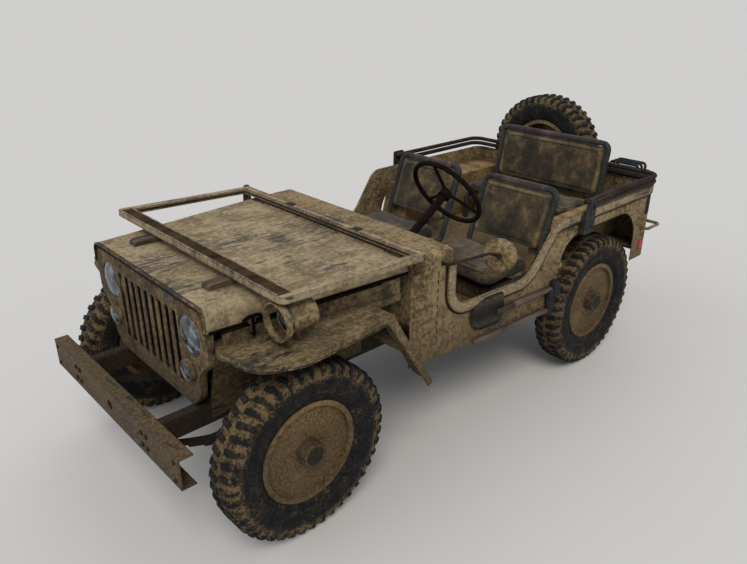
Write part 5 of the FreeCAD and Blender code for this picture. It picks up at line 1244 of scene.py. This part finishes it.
def makeCan():
    (front, rear), (y0, y1), (low, high) = can["x"], can["y"], can["z"]
    corners = [(y0, low, 0.03), (y1, low, 0.03), (y1, high, 0.03), (y0 + 0.095, high, 0.02),
               (y0, high - 0.06, 0.02)]
    seam = loopTube([onCar((front + rear) / 2, y, z) for y, z in closedLine(corners)], can["seam"])
    cross, (inward, above, below) = [], can["cross"]
    bottom, top = low + above, high - below
    for x in (rear - 0.0006, front + 0.0006):
        for start, end in ((bottom, top), (top, bottom)):
            cross.append(rod(onCar(x, y0 + inward, start), onCar(x, y1 - inward, end), can["rib"], 8))
    piece("can_pressing", gather(seam, *cross), "canPaint", smooth=60)
    inner, outer = at(front) + 0.0012, at(rear) - 0.0022
    strap = closedLine([(inner, y0 - 0.0022, 0.02), (inner, y1 + 0.0022, 0.02), (outer, y1 + 0.0022, 0.02),
                        (outer, y0 - 0.0022, 0.02)])
    foot, wide, thick = can["strap"]
    band = bmesh.new()
    edge = [band.verts.new((x, y, foot)) for x, y in strap]
    lines = [band.edges.new(pair) for pair in zip(edge, edge[1:] + edge[:1])]
    grown = bmesh.ops.extrude_edge_only(band, edges=lines)["geom"]
    bmesh.ops.translate(band, vec=(0, 0, wide), verts=[g for g in grown if isinstance(g, bmesh.types.BMVert)])
    bmesh.ops.solidify(band, geom=band.faces[:], thickness=thick)
    buckle = box(*[(at(rear) - out, *corner) for out, corner in zip((0.006, 0.002), can["buckle"])])
    piece("can_strap", gather(band, buckle), "strapWebbing", smooth=50)
    print("can done")


controls = {"knobs": [(-1.03, 0.025, 0.845), (-1.035, -0.045, 0.76), (-1.035, -0.075, 0.76)], "knob": 0.0158,
            "pedals": [0.245, 0.325], "pedal": (-0.815, 0.672), "pitch": -35,
            "ribs": (5, -0.031, 0.0135, 0.008)}
carriers = {"spare": (-2.7432, -0.174, 0.987, 0.071), "angles": (0.5, 2.6, 4.7), "bracketY": 0.7151,
            "pivots": ((-1.805, 1.022), (-1.855, 0.99)), "screws": ((-1.855, 0.88), (-1.805, 0.88))}


def makeControls():
    parts = []
    for place in controls["knobs"]:
        knob = bmesh.new()
        bmesh.ops.create_uvsphere(knob, u_segments=20, v_segments=12, radius=controls["knob"],
                                  matrix=Matrix.Translation(onCar(*place)))
        parts.append(knob)
    x, z = controls["pedal"]
    pitch = Matrix.Rotation(math.radians(controls["pitch"]), 4, "Y")
    count, low, step, wide = controls["ribs"]
    for y in controls["pedals"]:
        for i in range(count):
            rib = box((-0.0075, -0.03, low + step * i), (-0.0048, 0.03, low + wide + step * i))
            parts.append(moved(rib, Matrix.Translation(onCar(x, y, z)) @ pitch))
    piece("knobs_and_rubbers", gather(*parts), "rimPlastic", smooth=60)
    x, y, z, ring = carriers["spare"]
    nuts = [bolt(onCar(x, y + ring * math.cos(a), z + ring * math.sin(a)), backward, 0.01, 0.01)
            for a in carriers["angles"]]
    for side in (1, -1):
        y, out = side * carriers["bracketY"], (0, side, 0)
        nuts += [bolt(onCar(x, y, z), out, 0.011, 0.008) for x, z in carriers["pivots"]]
        nuts += [bolt(onCar(x, y, z), out, 0.007, 0.005) for x, z in carriers["screws"]]
    piece("carrier_nuts", gather(*nuts), "canPaint", bevel=0.001)
    print("controls done")


makeCan()
makeControls()


# Stage, light and camera

def makeStage():
    floor = bmesh.new()
    bmesh.ops.create_grid(floor, x_segments=1, y_segments=1, size=60)
    mesh = bpy.data.meshes.new("floor")
    floor.to_mesh(mesh)
    floor.free()
    ground = bpy.data.objects.new("floor", mesh)
    bpy.context.scene.collection.objects.link(ground)
    material, tree, shader = newMaterial("paleFloor")
    shader.inputs["Base Color"].default_value = linear("#D2D2D2")
    shader.inputs["Roughness"].default_value = 1.0
    shader.inputs["Specular IOR Level"].default_value = 0.0
    mesh.materials.append(material)
    world = bpy.data.worlds.new("studio")
    world.use_nodes = True
    tree = world.node_tree
    sky = tree.nodes["Background"]
    sky.inputs[0].default_value = linear("#C9CBCE")
    sky.inputs[1].default_value = 0.75
    seen = addNode(tree, "ShaderNodeBackground", {"Color": "#D0CFCE", "Strength": 1.0})
    # the backdrop is seen by the camera, in metal and through glass, and the sky only lights
    path = addNode(tree, "ShaderNodeLightPath")
    shown = path.outputs["Is Camera Ray"]
    for ray in ("Is Glossy Ray", "Is Transmission Ray"):
        shown = addNode(tree, "ShaderNodeMath", {0: shown, 1: path.outputs[ray]}, operation="ADD",
                        use_clamp=True).outputs[0]
    mixed = addNode(tree, "ShaderNodeMixShader", {0: shown, 1: sky.outputs[0], 2: seen.outputs[0]})
    tree.links.new(mixed.outputs[0], tree.nodes["World Output"].inputs[0])
    bpy.context.scene.world = world


lights = {
    "key": {"turn": (38, 0, 140), "strength": 1.5, "spread": 30, "colour": "#FFF8EC"},
    "fill": {"turn": (58, 0, 55), "strength": 0.55, "spread": 60, "colour": "#F2F5FF"},
    "back": {"turn": (50, 0, -60), "strength": 0.4, "spread": 60, "colour": "#FFFFFF"},
}


def makeLights():
    for name, look in lights.items():
        light = bpy.data.lights.new(name, "SUN")
        light.energy = look["strength"]
        light.angle = math.radians(look["spread"])
        light.color = linear(look["colour"])[:3]
        holder = bpy.data.objects.new(name, light)
        holder.location = (0, 0, 4)
        holder.rotation_euler = [math.radians(a) for a in look["turn"]]
        bpy.context.scene.collection.objects.link(holder)


view = {"place": (2.4165, 2.437, 2.076), "azimuth": 137.55, "elevation": 24.10, "lens": 32.81}


def makeCamera():
    lens = bpy.data.cameras.new("camera")
    lens.lens = view["lens"]
    lens.sensor_width = 36
    camera = bpy.data.objects.new("camera", lens)
    a, e = math.radians(view["azimuth"]), math.radians(view["elevation"])
    back = Vector((math.sin(a) * math.cos(e), -math.cos(a) * math.cos(e), math.sin(e)))
    camera.location = view["place"]
    camera.rotation_euler = (-back).to_track_quat("-Z", "Y").to_euler()
    bpy.context.scene.collection.objects.link(camera)
    bpy.context.scene.camera = camera


makeStage()
makeLights()
makeCamera()
bpy.context.scene.view_settings.view_transform = "Standard"
